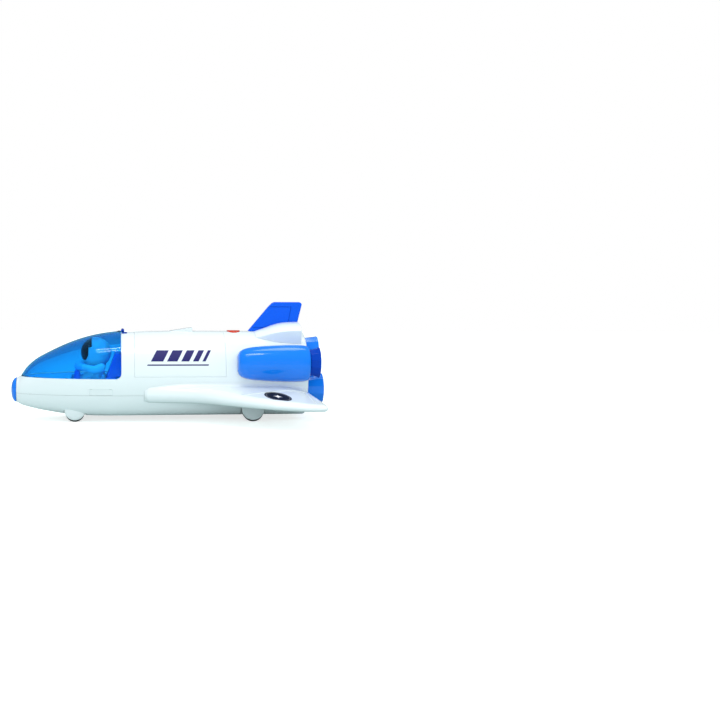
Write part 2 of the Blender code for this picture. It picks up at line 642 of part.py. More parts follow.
def fairing_ring(row, side):
    """A fairing's section: a crown beside the fin, a bow down to the crease, and a side face below it."""
    x, top, crease, foot = row
    level, fall = FAIRING_CROWN
    outline = [(FAIRING_INNER, top - FAIRING_DEPTH), (FAIRING_INNER, top), (crease[0] * level, top - fall)]
    for share in (0.6, 0.82):
        outline.append((crease[0] * share, top - (top - crease[1]) * share ** FAIRING_BOW))
    outline += [crease, foot, (foot[0] - FAIRING_DEPTH / 3, foot[1] - FAIRING_DEPTH / 2)]
    return [at(x, side * y, z) for y, z in outline]


def make_fairings():
    for side, tag in SIDES:
        fairing = loft(f"tail_fairing_{tag}", [fairing_ring(row, side) for row in FAIRING])
        cut(fairing, hull_form(f"fairing_seat_{tag}", FIT))
        paint(fairing, WHITE)


def make_pods():
    for side, tag in SIDES:
        y, z = POD_CENTRE
        profile = [(POD[0][0], 0)] + list(POD) + [(POD[-1][0], 0)]
        pod = turned(f"engine_pod_{tag}", (0, side * y, z), "X", profile, 28)
        cut(pod, hull_form(f"pod_seat_{tag}", FIT))
        paint(pod, BRIGHT_BLUE)


def make_bells():
    """Open twelve-sided bells that flare towards the rim."""
    for name, ((y, z), first, rim, radius, rim_radius) in BELLS.items():
        waist = first + (rim - first) * BELL_WAIST
        waist_radius = radius + (rim_radius - radius) * BELL_SWELL
        outside = [(first, 0), (first, radius), (waist, waist_radius), (rim, rim_radius)]
        inside = [(rim, rim_radius - BELL_WALL), (waist, waist_radius - BELL_WALL),
                  (first + PLATE, radius - BELL_WALL), (first + PLATE, 0)]
        bell = turned(name, (0, y, z), "X", outside + inside, BELL_SIDES, BELL_TURN)
        paint(bell, DARK_BLUE if name.startswith("pod") else BRIGHT_BLUE, smooth=False)


def round_edge(distance, radius):
    """How full the wing is at a distance from its edge: nothing at the edge, all of it past the radius."""
    short = 1 - min(max(distance / radius, 0.0), 1.0)
    return math.sqrt(1 - short * short)


def distance_to(place, line):
    """The shortest distance in plan from a place to a line of points."""
    here = Vector(place)
    shortest = math.inf
    for a, b in zip(line, line[1:]):
        start, way = Vector(a), Vector(b) - Vector(a)
        share = min(max((here - start).dot(way) / way.length_squared, 0.0), 1.0)
        shortest = min(shortest, (here - start - way * share).length)
    return shortest


def wing_top(x, y):
    """Height of the wing's upper face, before its edges are rounded."""
    out = y - WING_ROOT
    droop = DROOP * max(0.0, (x - DROOP_FROM) / DROOP_LENGTH) ** 1.5 * max(0.0, 1 - out / DROOP_SPAN)
    return WING_ROOT_TOP - WING_FALL * out - droop


def root_fillet(x, y):
    """How far the wing's top swells up where it meets the hull."""
    out = min(max((y - WING_ROOT) / WING_FILLET, 0.0), 1.0)
    begun = min(max((x - WING[0][1]) / FILLET_RUN, 0.0), 1.0)
    return WING_FILLET * begun * (1 - math.sqrt(1 - (1 - out) ** 2))


def wing_ring(y, front, rear, side, lead, trail, drop):
    """The wing's section at one distance from the centreline, as a closed loop, moved down by the drop."""
    top, bottom = [], []
    for share in WING_CHORD:
        x = front + (rear - front) * share
        full = round_edge(distance_to((x, y), lead), WING_EDGE)
        full *= round_edge(distance_to((x, y), trail), WING_TAIL)
        high = wing_top(x, y)
        low = WING_ROOT_BOTTOM + WING_RISE * (y - WING_ROOT)
        middle, half = (high + low) / 2 - drop, max((high - low) / 2 * full, WING_LIP)
        top.append(at(x, side * y, middle + half + root_fillet(x, y) * full))
        bottom.append(at(x, side * y, middle - half))
    return top + bottom[::-1]


def wing_form(name, side, drop=0.0):
    lead = [(front, y) for y, front, _ in WING if y >= WING_ROOT] + [(WING[-1][2], WING[-1][0])]
    trail = [(WING[1][2], 0.0)] + [(rear, y) for y, _, rear in WING if y >= WING_ROOT]
    return loft(name, [wing_ring(y, front, rear, side, lead, trail, drop) for y, front, rear in WING])


def make_wings():
    for side, tag in SIDES:
        wing = wing_form(f"wing_{tag}", side)
        outline = [(x, side * y) for x, y in RECESS]
        recess = flat_prism(f"wing_recess_{tag}", outline, RECESS_FOOT, WING_ROOT_TOP + WING_FILLET)
        cut(recess, wing_form(f"recess_floor_{tag}", side, RECESS_DEPTH))
        cut(wing, recess, hull_form(f"wing_seat_{tag}", FIT))
        paint(wing, WHITE)


def make_running_gear():
    for name, (x, track, radius, width) in WHEELS.items():
        centre, reach, bore = (x, 0, radius), track - AXLE_INSET, AXLE_RADIUS + FIT
        profile = [(-reach, 0), (-reach, AXLE_RADIUS), (reach, AXLE_RADIUS), (reach, 0)]
        axle = hang(turned(f"{name}_axle", centre, "Y", profile, 12), centre)
        paint(axle, STEEL)
        half, shoulder = width / 2, radius - TREAD_ROUND
        profile = [(-half, bore), (-half, shoulder), (TREAD_ROUND - half, radius), (half - TREAD_ROUND, radius),
                   (half, shoulder), (half, bore)]
        for side, tag in SIDES:
            middle = side * (track - half)
            wheel = turned(f"{name}_wheel_{tag}", (x, middle, radius), "Y", profile, 24)
            paint(hang(wheel, centre), BLACK)


def main():
    for obj in list(bpy.data.objects):
        bpy.data.objects.remove(obj)
    make_upper_hull()
    make_lower_hull()
    make_covers()
    make_bulkhead()
    make_nose_cap()
    make_canopy()
    make_canopy_hinge()
    make_cockpit()
    make_astronaut()
    make_bay()
    make_bay_doors()
    make_button()
    make_fin()
    make_fairings()
    make_pods()
    make_bells()
    make_wings()
    make_running_gear()


main()
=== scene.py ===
"""The looks of the toy space shuttle: fine moulded shells, clear canopy, toy astronaut, printed trim.

Sizes are millimetres and MM turns them into metres. X is a station, the distance behind the tip
of the nose, and at() gives the point in the frame. Port is -Y, and the wheels stand on Z = 0.
"""

import math

import bmesh
import bpy
from mathutils import Matrix, Vector


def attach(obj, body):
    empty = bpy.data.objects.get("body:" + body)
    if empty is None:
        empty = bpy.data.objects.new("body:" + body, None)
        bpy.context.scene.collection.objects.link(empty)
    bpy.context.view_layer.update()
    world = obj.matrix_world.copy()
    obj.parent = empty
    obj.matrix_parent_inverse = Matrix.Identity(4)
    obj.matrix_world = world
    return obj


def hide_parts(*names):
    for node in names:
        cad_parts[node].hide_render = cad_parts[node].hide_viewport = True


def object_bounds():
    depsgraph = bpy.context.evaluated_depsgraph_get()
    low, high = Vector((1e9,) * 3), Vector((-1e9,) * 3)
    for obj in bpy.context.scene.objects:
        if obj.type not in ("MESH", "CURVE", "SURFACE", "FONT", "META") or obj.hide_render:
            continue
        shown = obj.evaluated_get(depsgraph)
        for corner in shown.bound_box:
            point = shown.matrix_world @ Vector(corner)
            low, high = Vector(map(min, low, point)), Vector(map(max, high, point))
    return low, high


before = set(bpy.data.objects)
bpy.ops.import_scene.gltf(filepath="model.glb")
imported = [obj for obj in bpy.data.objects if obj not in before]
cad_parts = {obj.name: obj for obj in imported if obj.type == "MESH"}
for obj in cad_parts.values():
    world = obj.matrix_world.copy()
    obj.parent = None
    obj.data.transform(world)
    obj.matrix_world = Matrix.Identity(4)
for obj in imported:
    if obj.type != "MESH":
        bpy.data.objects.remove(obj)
cad_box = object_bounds()

MM = 0.001
NOSE_TIP = cad_box[0].x / MM
LENGTH = (cad_box[1].x - cad_box[0].x) / MM
FIT = 0.3  # gap between neighbouring pieces
SHELL, GLAZING, PLATE = 2.4, 1.5, 2.5
TRAY_SKIN = SHELL + FIT + 0.1  # how far the trays inside the hull lie below its outer form
SEAM = 29.6
WIDE, HIGH = 60.0, 120.0  # cutters reach past the hull this far to the side and this high
AHEAD = -5.0  # a station ahead of the nose
LIP = 0.2  # rounding of the panels' edges
JOINT = 0.12  # gap that shows between the hull's two shells, and round the doors
EPS = 0.01
FACING = 0.9  # a face looks along an axis when its normal goes this far along it
SIDES = ((-1, "port"), (1, "starboard"))

# station, half width, top, belly, height of the widest place
NOSE = (
    (6.3, 12.9, 45.3, 19.6, 32.4),
    (10.7, 16.5, 47.9, 17.3, 33.6),
    (12.5, 17.9, 50.7, 16.6, 34.2),
    (17.0, 20.8, 57.0, 15.4, 35.6),
    (26.2, 25.8, 65.2, 13.3, 38.6),
    (39.9, 31.8, 73.0, 10.9, 42.2),
    (58.1, 37.8, 81.7, 8.3, 45.4),
    (76.3, 42.0, 88.4, 6.7, 46.9),
    (94.6, 44.6, 92.9, 6.1, 47.4),
    (117.0, 45.8, 96.0, 6.0, 47.4),
)
TRUNK = (
    (117.4, 45.8, 94.3, 6.0, 47.4),
    (140.0, 46.0, 95.3, 6.0, 47.4),
    (170.0, 46.0, 96.0, 6.0, 47.4),
    (220.0, 46.0, 96.0, 6.0, 47.4),
    (270.0, 46.0, 96.0, 6.0, 47.4),
    (314.6, 46.0, 96.0, 6.0, 47.4),
    (316.4, 45.5, 95.5, 6.8, 47.4),
    (317.4, 44.4, 94.4, 8.6, 47.4),
)
HULL_FRONT, HULL_END = NOSE[0][0], TRUNK[-1][0]
BELLY_SHARE = 0.48
HULL_SIDES = 96
NOSE_RINGS, TRUNK_RINGS = 26, 4
RING_CROWDING, RING_GAP, SHORT_STRETCH = 1.5, 0.2, 5.0
NOSE_CAP_RINGS, NOSE_CAP_SIDES, NOSE_CAP_TIP = 14, 64, 0.03
BULKHEAD_SUNK = 0.4
SEATS_FROM = 100.0  # no piece that is cut to the hull's form reaches ahead of this station

SILL, COCKPIT_REAR, COCKPIT_CORNER = 47.4, 117.0, 6.0
CANOPY_HINGE = (118.7, 0.0, 96.2)
# lowest and highest corner from the hinge's axis, each as (station, height)
NOTCH = ((-3.0, -3.2), (5.0, HIGH - CANOPY_HINGE[2]))
LUG_ARM = ((-5.0, -2.2), (-0.9, -0.4))
BRACKET = ((-0.6, -2.9), (4.6, -2.0))
EAR = ((-0.5, -2.5), (1.6, 0.0))
NOTCH_HALF, BRACKET_HALF = 9.4, 9.0
LUG_HALF, LUG_RADIUS = 3.6, 1.5
KNUCKLE_Y, KNUCKLE_HALF, KNUCKLE_RADIUS = 6.4, 2.4, 1.7

BAY_FRONT, BAY_REAR, DOOR_FOOT, BAY_FLOOR = 131.0, 228.0, 49.7, 36.0
DOOR_MEETING = 0.2  # how far each door stays from the centreline
POCKET_GAP, MOUTH_DROP = 0.2, 1.2
RIBS, RIB_HALF, RIB_REACH, RIB_SUNK, RIB_RISE = 5, 0.7, 34.0, 0.5, 0.7
TAB_FRONT, TAB_REAR, TAB_TOP, TAB_HALF = 170.0, 194.2, 99.8, 6.0
TAB_FOOT, TAB_LOW, TAB_CHAMFER, TAB_INNER = 94.0, 96.2, 1.2, 0.4
HATCH, HATCH_TOP, HATCH_DEPTH, HATCH_ROUND = (84.0, 108.0), 36.6, 0.5, 1.0
BUTTON_STATION, BUTTON_HALF, BUTTON_RISE = 239.8, (7.2, 10.2), 0.8
BUTTON_MIDDLE, BUTTON_TALL, BUTTON_FOOT = 95.0, 20.0, 88.0
BUTTON_TOP_FROM = 200.0  # where the form that shapes its top begins

# station, half track to the outer face, radius, width
WHEELS = {
    "front": (68.3, 26.6, 10.1, 7.0),
    "rear": (258.4, 36.8, 11.6, 8.0),
}
AXLE_RADIUS, AXLE_INSET, WHEEL_ROOM, WELL_FOOT = 1.5, 0.6, 1.4, -2.0
WELL_INNER_GAP, WELL_OUTER_GAP = 2.5 * FIT, FIT + 0.1
RIM_WIDTH, DISH_DEPTH, DISH_SLOPE, HUB_RADIUS, HUB_SLOPE = 2.2, 0.9, 0.5, 3.3, 0.3
SPAT_BULGE, SPAT_LIFT, SPAT_OVER, SPAT_RIM, SPAT_STEPS = 2.6, 2.6, 0.9, 0.4, 9
BATTERY, BATTERY_HALF = (160.0, 222.0), 19.0
COVER_LOW, COVER_HIGH = 6.0, 8.3
GRIPS, GRIP_INSET, GRIP_PITCH, GRIP_WIDTH, GRIP_HALF, GRIP_DEPTH = 3, 3.0, 2.4, 1.2, 6.0, 0.8
# how far the lid's sunk field stays from its front, its rear and its sides
LID_FIELD, LID_FIELD_DEPTH = (14.0, 13.0, 4.0), 0.5
SPEAKER, SPEAKER_RADIUS = 118.0, 13.0
SLOTS, SLOT_PITCH, SLOT_HALF, SLOT_RING, SLOT_ROUND = 5, 4.4, 0.9, 10.5, 0.8

# radius and depth of a screw's well, radius of its head, and how far in the head's middle lies
BELLY_SCREW = (3.4, 6.0, 2.4, 2.4)
LID_SCREW = (3.2, 2.4, 2.2, 1.6)
TAIL_SCREW = (2.8, 1.6, 2.2, 0.7)
BELLY_SCREWS, BELLY_SCREW_Y, BELLY_WELL = (88.0, 142.0, 234.0, 302.0), 17.0, 7.0
LID_SCREW_INSET = 6.0
TAIL_SCREWS = ((31.0, 45.0), (24.0, 84.0))  # distance from the centreline, height
HEAD_TALL, CROSS_SHARE, CROSS_HALF, CROSS_DEPTH = 1.2, 0.62, 0.3, 0.5

BELL_FRONT = HULL_END + FIT
# name: centre (y, z), rim station, first radius, rim radius
BELLS = {
    "main_bell_top": ((0.0, 73.4), 334.0, 15.4, 17.2),
    "main_bell_port": ((-20.0, 34.0), LENGTH, 14.0, 17.2),
    "main_bell_starboard": ((20.0, 34.0), LENGTH, 14.0, 17.2),
    "pod_bell_port": ((-46.0, 65.0), 328.2, 14.0, 16.9),
    "pod_bell_starboard": ((46.0, 65.0), 328.2, 14.0, 16.9),
}
BELL_WALL, BELL_SIDES, BELL_TURN = 1.6, 12, math.radians(15)
BELL_STEPS, BELL_CURVE, BELL_TRIM, BELL_ROUND = 4, 1.4, 0.05, 0.45

POD_CENTRE = (45.0, 64.0)
# station, radius
POD = ((239.9, 8.0), (241.2, 11.4), (244.0, 14.2), (250.0, 16.6), (262.0, 18.3), (282.0, 19.5),
       (300.0, 20.0), (311.0, 19.5), (315.4, 18.6), (317.0, 17.0))

WING_ROOT, WING_ROOT_TOP, WING_ROOT_BOTTOM = 46.0, 40.0, 21.8
WING_FALL, WING_RISE = 0.15, -0.018
WING_EDGE, WING_TAIL, WING_LIP = 8.6, 5.0, 0.5
WING_FILLET, FILLET_RUN, WING_STEPS = 4.0, 40.0, 56
DROOP, DROOP_FROM, DROOP_LENGTH, DROOP_SPAN = 6.0, 285.0, 32.0, 90.0
# distance from the centreline, station of the leading edge, station of the trailing edge
WING = (
    (40.0, 140.8, 316.4),
    (46.0, 141.4, 317.0),
    (47.0, 142.6, 317.2),
    (48.5, 145.0, 317.6),
    (50.5, 158.0, 318.0),
    (53.5, 177.0, 318.6),
    (57.0, 192.0, 319.2),
    (67.0, 209.0, 321.0),
    (78.0, 224.0, 322.8),
    (90.0, 241.0, 324.4),
    (99.0, 255.0, 325.2),
    (108.0, 270.0, 325.6),
    (115.0, 286.0, 325.4),
    (119.3, 301.0, 324.2),
    (121.0, 309.0, 320.0),
)
# station and distance from the centreline of the shallow recess's corners
RECESS = ((240.0, 80.0), (311.0, 56.0), (316.0, 112.0), (301.0, 110.5), (286.0, 106.5), (270.0, 99.5),
          (255.0, 91.0))
RECESS_DEPTH, RECESS_ROUND = 0.8, 3.0
RECESS_LOW, RECESS_HIGH = 25.0, WING_ROOT_TOP + 5  # how far down and up its cutter reaches

FIN_HALF, FIN_ROUND = 3.5, 1.2
# station, height
FIN = ((256.0, 96.0), (278.6, 123.0), (283.0, 127.3), (285.5, 128.3), (313.5, 128.4),
       (315.7, 127.4), (316.1, 125.6), (311.5, 106.2), (310.4, 90.0), (256.0, 90.0))
FIN_LINES = (
    ((279.8, 123.1), (303.9, 123.1)),
    ((303.9, 123.1), (299.8, 100.0)),
    ((261.0, 99.9), (275.5, 100.2)),
)
GROOVE_HALF, GROOVE_DEPTH = 0.26, 1.6
FAIRING_INNER, FAIRING_DEPTH = FIN_HALF + 0.8, 12.0
FAIRING_CROWN, FAIRING_BOW = (0.3, 0.42, 0.54, 0.66, 0.77, 0.87, 0.94), 3.2
# station, top, crease y, crease z, foot y, foot z
FAIRING = (
    (262.0, 95.9, 22.0, 90.5, 22.4, 89.4),
    (268.0, 98.0, 24.5, 91.6, 24.0, 88.6),
    (275.0, 100.4, 27.6, 93.9, 26.0, 87.3),
    (282.0, 103.0, 30.2, 95.9, 27.9, 86.0),
    (290.0, 105.2, 32.2, 97.4, 29.2, 85.0),
    (300.0, 106.4, 33.6, 98.4, 30.0, 84.3),
    (311.3, 106.7, 34.3, 98.8, 30.5, 84.0),
)

DECK, TUB_FLOOR, TUB_BOTTOM = 46.4, 36.0, 33.0
TUB_FRONT, WELL, WELL_HALF = 14.0, (64.0, 112.0), 25.0
SEAT_BACK = ((98.5, TUB_FLOOR + FIT), (111.5, TUB_FLOOR + FIT), (111.5, 47.0), (117.6, 47.0), (117.6, 70.0),
             (115.8, 72.0), (110.2, 72.0), (107.6, 64.0), (102.5, 50.0), (99.5, 42.0))
SEAT_PAN = ((82.0, TUB_FLOOR + FIT), (104.0, TUB_FLOOR + FIT), (104.0, 42.0), (82.0, 41.0))
YOKE = ((67.0, TUB_FLOOR + FIT), (72.0, TUB_FLOOR + FIT), (73.5, 46.0), (72.5, 53.3), (67.5, 53.3),
        (66.8, 46.0))
SEAT_HALF, PAN_HALF, YOKE_HALF = 19.0, 17.0, 10.0
YOKE_GAP_HALF, YOKE_BAR = 4.0, 46.0

HELMET_CENTRE, HELMET_RADIUS, NECK = (90.0, 0.0, 72.4), 16.4, 59.2
# station, height
VISOR = ((60.0, 64.6), (79.4, 64.6), (82.2, 69.6), (82.6, 77.9), (86.2, 79.2), (85.4, 90.5), (60.0, 90.5))
VISOR_GAP, VISOR_SUNK = 0.15, 0.3
# height, station of the middle, half depth, half width
TORSO = ((42.6, 91.5, 6.6, 12.0), (48.0, 91.5, 7.0, 13.4), (54.0, 92.5, 7.4, 15.0), (57.6, 92.5, 6.2, 12.5),
         (58.8, 91.6, 5.0, 7.0))
# station, distance from the centreline, height, radius
ARM = ((96.0, 18.6, 57.4, 4.6), (91.0, 20.4, 55.6, 4.4), (86.5, 20.0, 55.4, 4.3), (80.5, 16.0, 56.8, 3.8),
       (75.5, 11.6, 57.4, 3.4))
GLOVE = ((76.5, 12.4, 57.4, 4.1), (73.0, 9.4, 57.8, 4.4), (70.6, 7.4, 57.6, 3.6))
LEG = ((96.0, 5.8, 46.2, 4.4), (88.0, 6.0, 48.2, 4.5), (81.0, 6.2, 47.4, 4.3), (77.8, 6.2, 43.6, 3.6),
       (77.4, 6.2, 40.0, 3.2))
BOOT = ((78.6, 6.2, 38.6, 2.1), (76.8, 6.4, 38.6, 2.2))
LIMB_DOME = (0.4, 0.8, 1.15, 1.45)  # turns of the rings in a limb's round end
TORSO_SIDES = 40
CHEST_PACK = ((83.6, -6.5, 47.5), (88.0, 6.5, 54.5))
COLLAR_CENTRE, COLLAR_RADIUS, COLLAR_TALL = (90.8, 0.0, 58.9), 9.2, 1.6


def at(x, y, z):
    """The frame's point of a station, a distance from the centreline and a height."""
    return Vector(((x + NOSE_TIP) * MM, y * MM, z * MM))


def station(place):
    """The millimetres of a point in the frame, turned back."""
    return place.x / MM - NOSE_TIP, place.y / MM, place.z / MM


# Ways of working on a piece


def activate(obj):
    bpy.ops.object.select_all(action="DESELECT")
    obj.select_set(True)
    bpy.context.view_layer.objects.active = obj
    return obj


def edit(obj):
    activate(obj)
    bpy.ops.object.mode_set(mode="EDIT")


def done():
    bpy.ops.object.mode_set(mode="OBJECT")


def fresh(name):
    """Names the primitive that was just added and puts its place into its mesh."""
    obj = bpy.context.object
    obj.name = obj.data.name = name
    bpy.ops.object.transform_apply(location=True, rotation=True, scale=True)
    return obj


def pick(kind, test):
    """Selects, in edit mode, only the elements whose middle passes the test, given in millimetres."""
    bpy.ops.mesh.select_mode(type=kind)
    bpy.ops.mesh.select_all(action="DESELECT")
    data = bpy.context.edit_object.data
    mesh = bmesh.from_edit_mesh(data)
    if kind == "VERT":
        chosen = [v for v in mesh.verts if test(*station(v.co))]
    elif kind == "EDGE":
        chosen = [e for e in mesh.edges if test(*station((e.verts[0].co + e.verts[1].co) / 2))]
    else:
        chosen = [f for f in mesh.faces if test(*station(f.calc_center_median()), f.normal)]
    for item in chosen:
        item.select_set(True)
    mesh.select_flush(True)
    bmesh.update_edit_mesh(data)


def apply(obj, kind, **settings):
    """Adds a modifier with the settings and applies it."""
    activate(obj)
    modifier = obj.modifiers.new(kind.lower(), kind)
    for key, value in settings.items():
        setattr(modifier, key, value)
    bpy.ops.object.modifier_apply(modifier=modifier.name)
    return obj


def carve(obj, *cutters, how="DIFFERENCE"):
    """Cuts a piece with others, joins them, or keeps what they share, and uses the others up."""
    for cutter in cutters:
        apply(obj, "BOOLEAN", operation=how, object=cutter, solver="EXACT")
        bpy.data.objects.remove(cutter)
    return obj


def merge(obj, *pieces):
    return carve(obj, *pieces, how="UNION")


def share(obj, *regions):
    return carve(obj, *regions, how="INTERSECT")


def gather(name, pieces):
    """Makes several loose pieces one object without joining their surfaces."""
    bpy.ops.object.select_all(action="DESELECT")
    for piece in pieces:
        piece.select_set(True)
    bpy.context.view_layer.objects.active = pieces[0]
    bpy.ops.object.join()
    obj = bpy.context.object
    obj.name = obj.data.name = name
    return obj


def placed(name, data):
    """A new object in the scene."""
    obj = bpy.data.objects.new(name, data)
    bpy.context.scene.collection.objects.link(obj)
    return obj


def copied(obj, name):
    twin = placed(name, obj.data.copy())
    twin.data.name = name
    return twin


def bevelled(obj, width=LIP, segments=3, angle=40):
    apply(obj, "WELD", merge_threshold=0.02 * MM)
    return apply(obj, "BEVEL", width=width * MM, segments=segments, limit_method="ANGLE",
                 angle_limit=math.radians(angle), use_clamp_overlap=False, miter_outer="MITER_ARC")


def whole(obj, operator, **settings):
    """Runs one of edit mode's operators on all of a piece."""
    edit(obj)
    bpy.ops.mesh.select_all(action="SELECT")
    operator(**settings)
    done()
    return obj


def slice_off(obj, place, normal, fill=True):
    """Cuts away what lies on the side that the normal points to."""
    return whole(obj, bpy.ops.mesh.bisect, plane_co=at(*place), plane_no=normal, use_fill=fill,
                 clear_outer=True)


def lifted(obj, name, rise):
    """A copy of a piece, moved up."""
    return whole(copied(obj, name), bpy.ops.transform.translate, value=(0, 0, rise * MM))


def rounded(obj, radius, test, segments=5):
    """Rounds the edges whose middle passes the test."""
    edit(obj)
    pick("EDGE", test)
    bpy.ops.mesh.bevel(offset=radius * MM, segments=segments)
    done()
    return obj


def outward(obj):
    """Makes all of a piece's faces point out."""
    edit(obj)
    bpy.ops.mesh.select_all(action="SELECT")
    bpy.ops.mesh.remove_doubles(threshold=0.001 * MM)
    bpy.ops.mesh.normals_make_consistent(inside=False)
    done()
    return obj


def mirrored(obj, name):
    """A copy of a port piece for starboard."""
    twin = copied(obj, name)
    return outward(whole(twin, bpy.ops.transform.resize, value=(1, -1, 1), center_override=(0, 0, 0)))


def thicken(obj, wall):
    """Gives an open skin a wall that grows inwards."""
    apply(obj, "SOLIDIFY", thickness=wall * MM, offset=-1, use_even_offset=True)
    return outward(obj)


def settle(obj, finish, body, nodes=(), angle=32):
    """Shades a finished piece, gives it its finish and body, and hides the nodes it stands for."""
    activate(obj)
    bpy.ops.object.shade_smooth_by_angle(angle=math.radians(angle))
    apply(obj, "WEIGHTED_NORMAL", keep_sharp=True, weight=50)
    obj.data.materials.clear()
    obj.data.materials.append(FINISH[finish])
    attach(obj, body)
    if nodes:
        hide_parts(*nodes)
    return obj


def settle_pair(port, finish, stands_for="", body="root"):
    """Settles a port piece and its mirror image; {} in a node's or body's name is the side."""
    starboard = mirrored(port, port.name.replace("port", "starboard"))
    for obj, (_, tag) in zip((port, starboard), SIDES):
        nodes = [stands_for.format(tag)] if stands_for else ()
        settle(obj, finish, body.format(tag), nodes)


# Starting shapes


def box(name, low, high):
    """A box from its lowest to its highest corner."""
    bpy.ops.object.select_all(action="DESELECT")
    size = [(b - a) * MM for a, b in zip(low, high)]
    middle = at(*[(a + b) / 2 for a, b in zip(low, high)])
    bpy.ops.mesh.primitive_cube_add(size=1, location=middle, scale=size)
    return fresh(name)


def side_box(name, side, inner, outer, low, high):
    """A box on one side of the centreline; low and high are (station, height)."""
    near, far = sorted((side * inner, side * outer))
    return box(name, (low[0], near, low[1]), (high[0], far, high[1]))


def drum(name, centre, radius, depth, axis="Y", sides=48):
    """A cylinder centred on a place."""
    bpy.ops.object.select_all(action="DESELECT")
    turn = {"X": (0, math.pi / 2, 0), "Y": (math.pi / 2, 0, 0), "Z": (0, 0, 0)}[axis]
    bpy.ops.mesh.primitive_cylinder_add(vertices=sides, radius=radius * MM, depth=depth * MM,
                                        location=at(*centre), rotation=turn)
    return fresh(name)


def globe(name, centre, radius, segments=64, rings=48):
    bpy.ops.object.select_all(action="DESELECT")
    bpy.ops.mesh.primitive_uv_sphere_add(segments=segments, ring_count=rings, radius=radius * MM,
                                         location=at(*centre))
    return fresh(name)


def loft(name, rings):
    """A closed skin of four-sided faces through rings of points, for the sculpted forms."""
    count = len(rings[0])
    faces = [tuple(range(count)), tuple(range((len(rings) - 1) * count, len(rings) * count))]
    for row in range(len(rings) - 1):
        for i in range(count):
            j = (i + 1) % count
            near, far = row * count, (row + 1) * count
            faces.append((near + i, near + j, far + j, far + i))
    data = bpy.data.meshes.new(name)
    data.from_pydata([place for ring in rings for place in ring], [], faces)
    return outward(placed(name, data))


def side_prism(name, outline, low, high):
    """An outline of (station, height) drawn out across the toy."""
    return loft(name, [[at(x, level, z) for x, z in outline] for level in (low, high)])


def flat_prism(name, outline, low, high):
    """An outline of (station, distance from the centreline) drawn up."""
    return loft(name, [[at(x, y, level) for x, y in outline] for level in (low, high)])


def grow(name, rows, sides, belly=0.0, turn=0.0, front=True, rear=True):
    """Draws a tube out along X, ring by ring.

    A row is the station, y and z of its middle, its half width, and its rise and fall from the middle.
    """
    x, y, z, half, rise, fall = rows[0]
    bpy.ops.object.select_all(action="DESELECT")
    bpy.ops.mesh.primitive_circle_add(vertices=sides, radius=half * MM, fill_type="NOTHING",
                                      location=at(x, y, z), rotation=(0, math.pi / 2, 0))
    obj = fresh(name)
    edit(obj)
    if turn:
        bpy.ops.mesh.select_all(action="SELECT")
        bpy.ops.transform.rotate(value=turn, orient_axis="X", center_override=at(x, y, z))
    if belly:
        pick("VERT", lambda px, py, pz: pz < z - EPS)
        bpy.ops.transform.resize(value=(1, 1 - belly, 1), center_override=at(x, y, z))
        for side, _ in SIDES:
            pick("VERT", lambda px, py, pz: pz < z - EPS and side * (py - y) > EPS)
            bpy.ops.transform.translate(value=(0, side * belly * half * MM, 0))
    for sign, reach in ((1, rise), (-1, fall)):
        if abs(reach - half) > EPS / 10:
            pick("VERT", lambda px, py, pz: sign * (pz - z) > EPS)
            bpy.ops.transform.resize(value=(1, 1, reach / half), center_override=at(x, y, z))
    bpy.ops.mesh.select_mode(type="VERT")
    bpy.ops.mesh.select_all(action="SELECT")
    for near, far in zip(rows, rows[1:]):
        middle = at(*far[:3])
        bpy.ops.mesh.extrude_region_move(TRANSFORM_OT_translate={"value": middle - at(*near[:3])})
        wider, taller, deeper = (far[i] / near[i] for i in (3, 4, 5))
        bpy.ops.transform.resize(value=(1, wider, taller), center_override=middle)
        if abs(deeper / taller - 1) > 1e-5:
            pick("VERT", lambda px, py, pz: abs(px - far[0]) < EPS and pz < far[2] - EPS)
            bpy.ops.transform.resize(value=(1, 1, deeper / taller), center_override=middle)
            pick("VERT", lambda px, py, pz: abs(px - far[0]) < EPS)
    if rear:
        bpy.ops.mesh.edge_face_add()
    if front:
        pick("VERT", lambda px, py, pz: abs(px - x) < EPS)
        bpy.ops.mesh.edge_face_add()
    done()
    return outward(obj)


def between(table, x):
    """A row of the table at a place along it, on a smooth curve through its rows."""
    count = len(table)
    k = max(i for i in range(count - 1) if i == 0 or table[i][0] <= x)
    near, far = table[k], table[k + 1]
    span = far[0] - near[0]
    t = (x - near[0]) / span
    row = []
    for c in range(1, len(near)):
        slopes = []
        for i in (k, k + 1):
            low, high = table[max(i - 1, 0)], table[min(i + 1, count - 1)]
            slopes.append((high[c] - low[c]) / (high[0] - low[0]) * span)
        row.append((2 * t ** 3 - 3 * t ** 2 + 1) * near[c] + (t ** 3 - 2 * t ** 2 + t) * slopes[0]
                   + (3 * t ** 2 - 2 * t ** 3) * far[c] + (t ** 3 - t ** 2) * slopes[1])
    return row


def finer(table, parts=4):
    """The table with more rows, each interval in the same number of parts."""
    rows = []
    for near, far in zip(table, table[1:]):
        for i in range(parts):
            x = near[0] + (far[0] - near[0]) * i / parts
            rows.append((x, *between(table, x)))
    rows.append(tuple(table[-1]))
    return rows


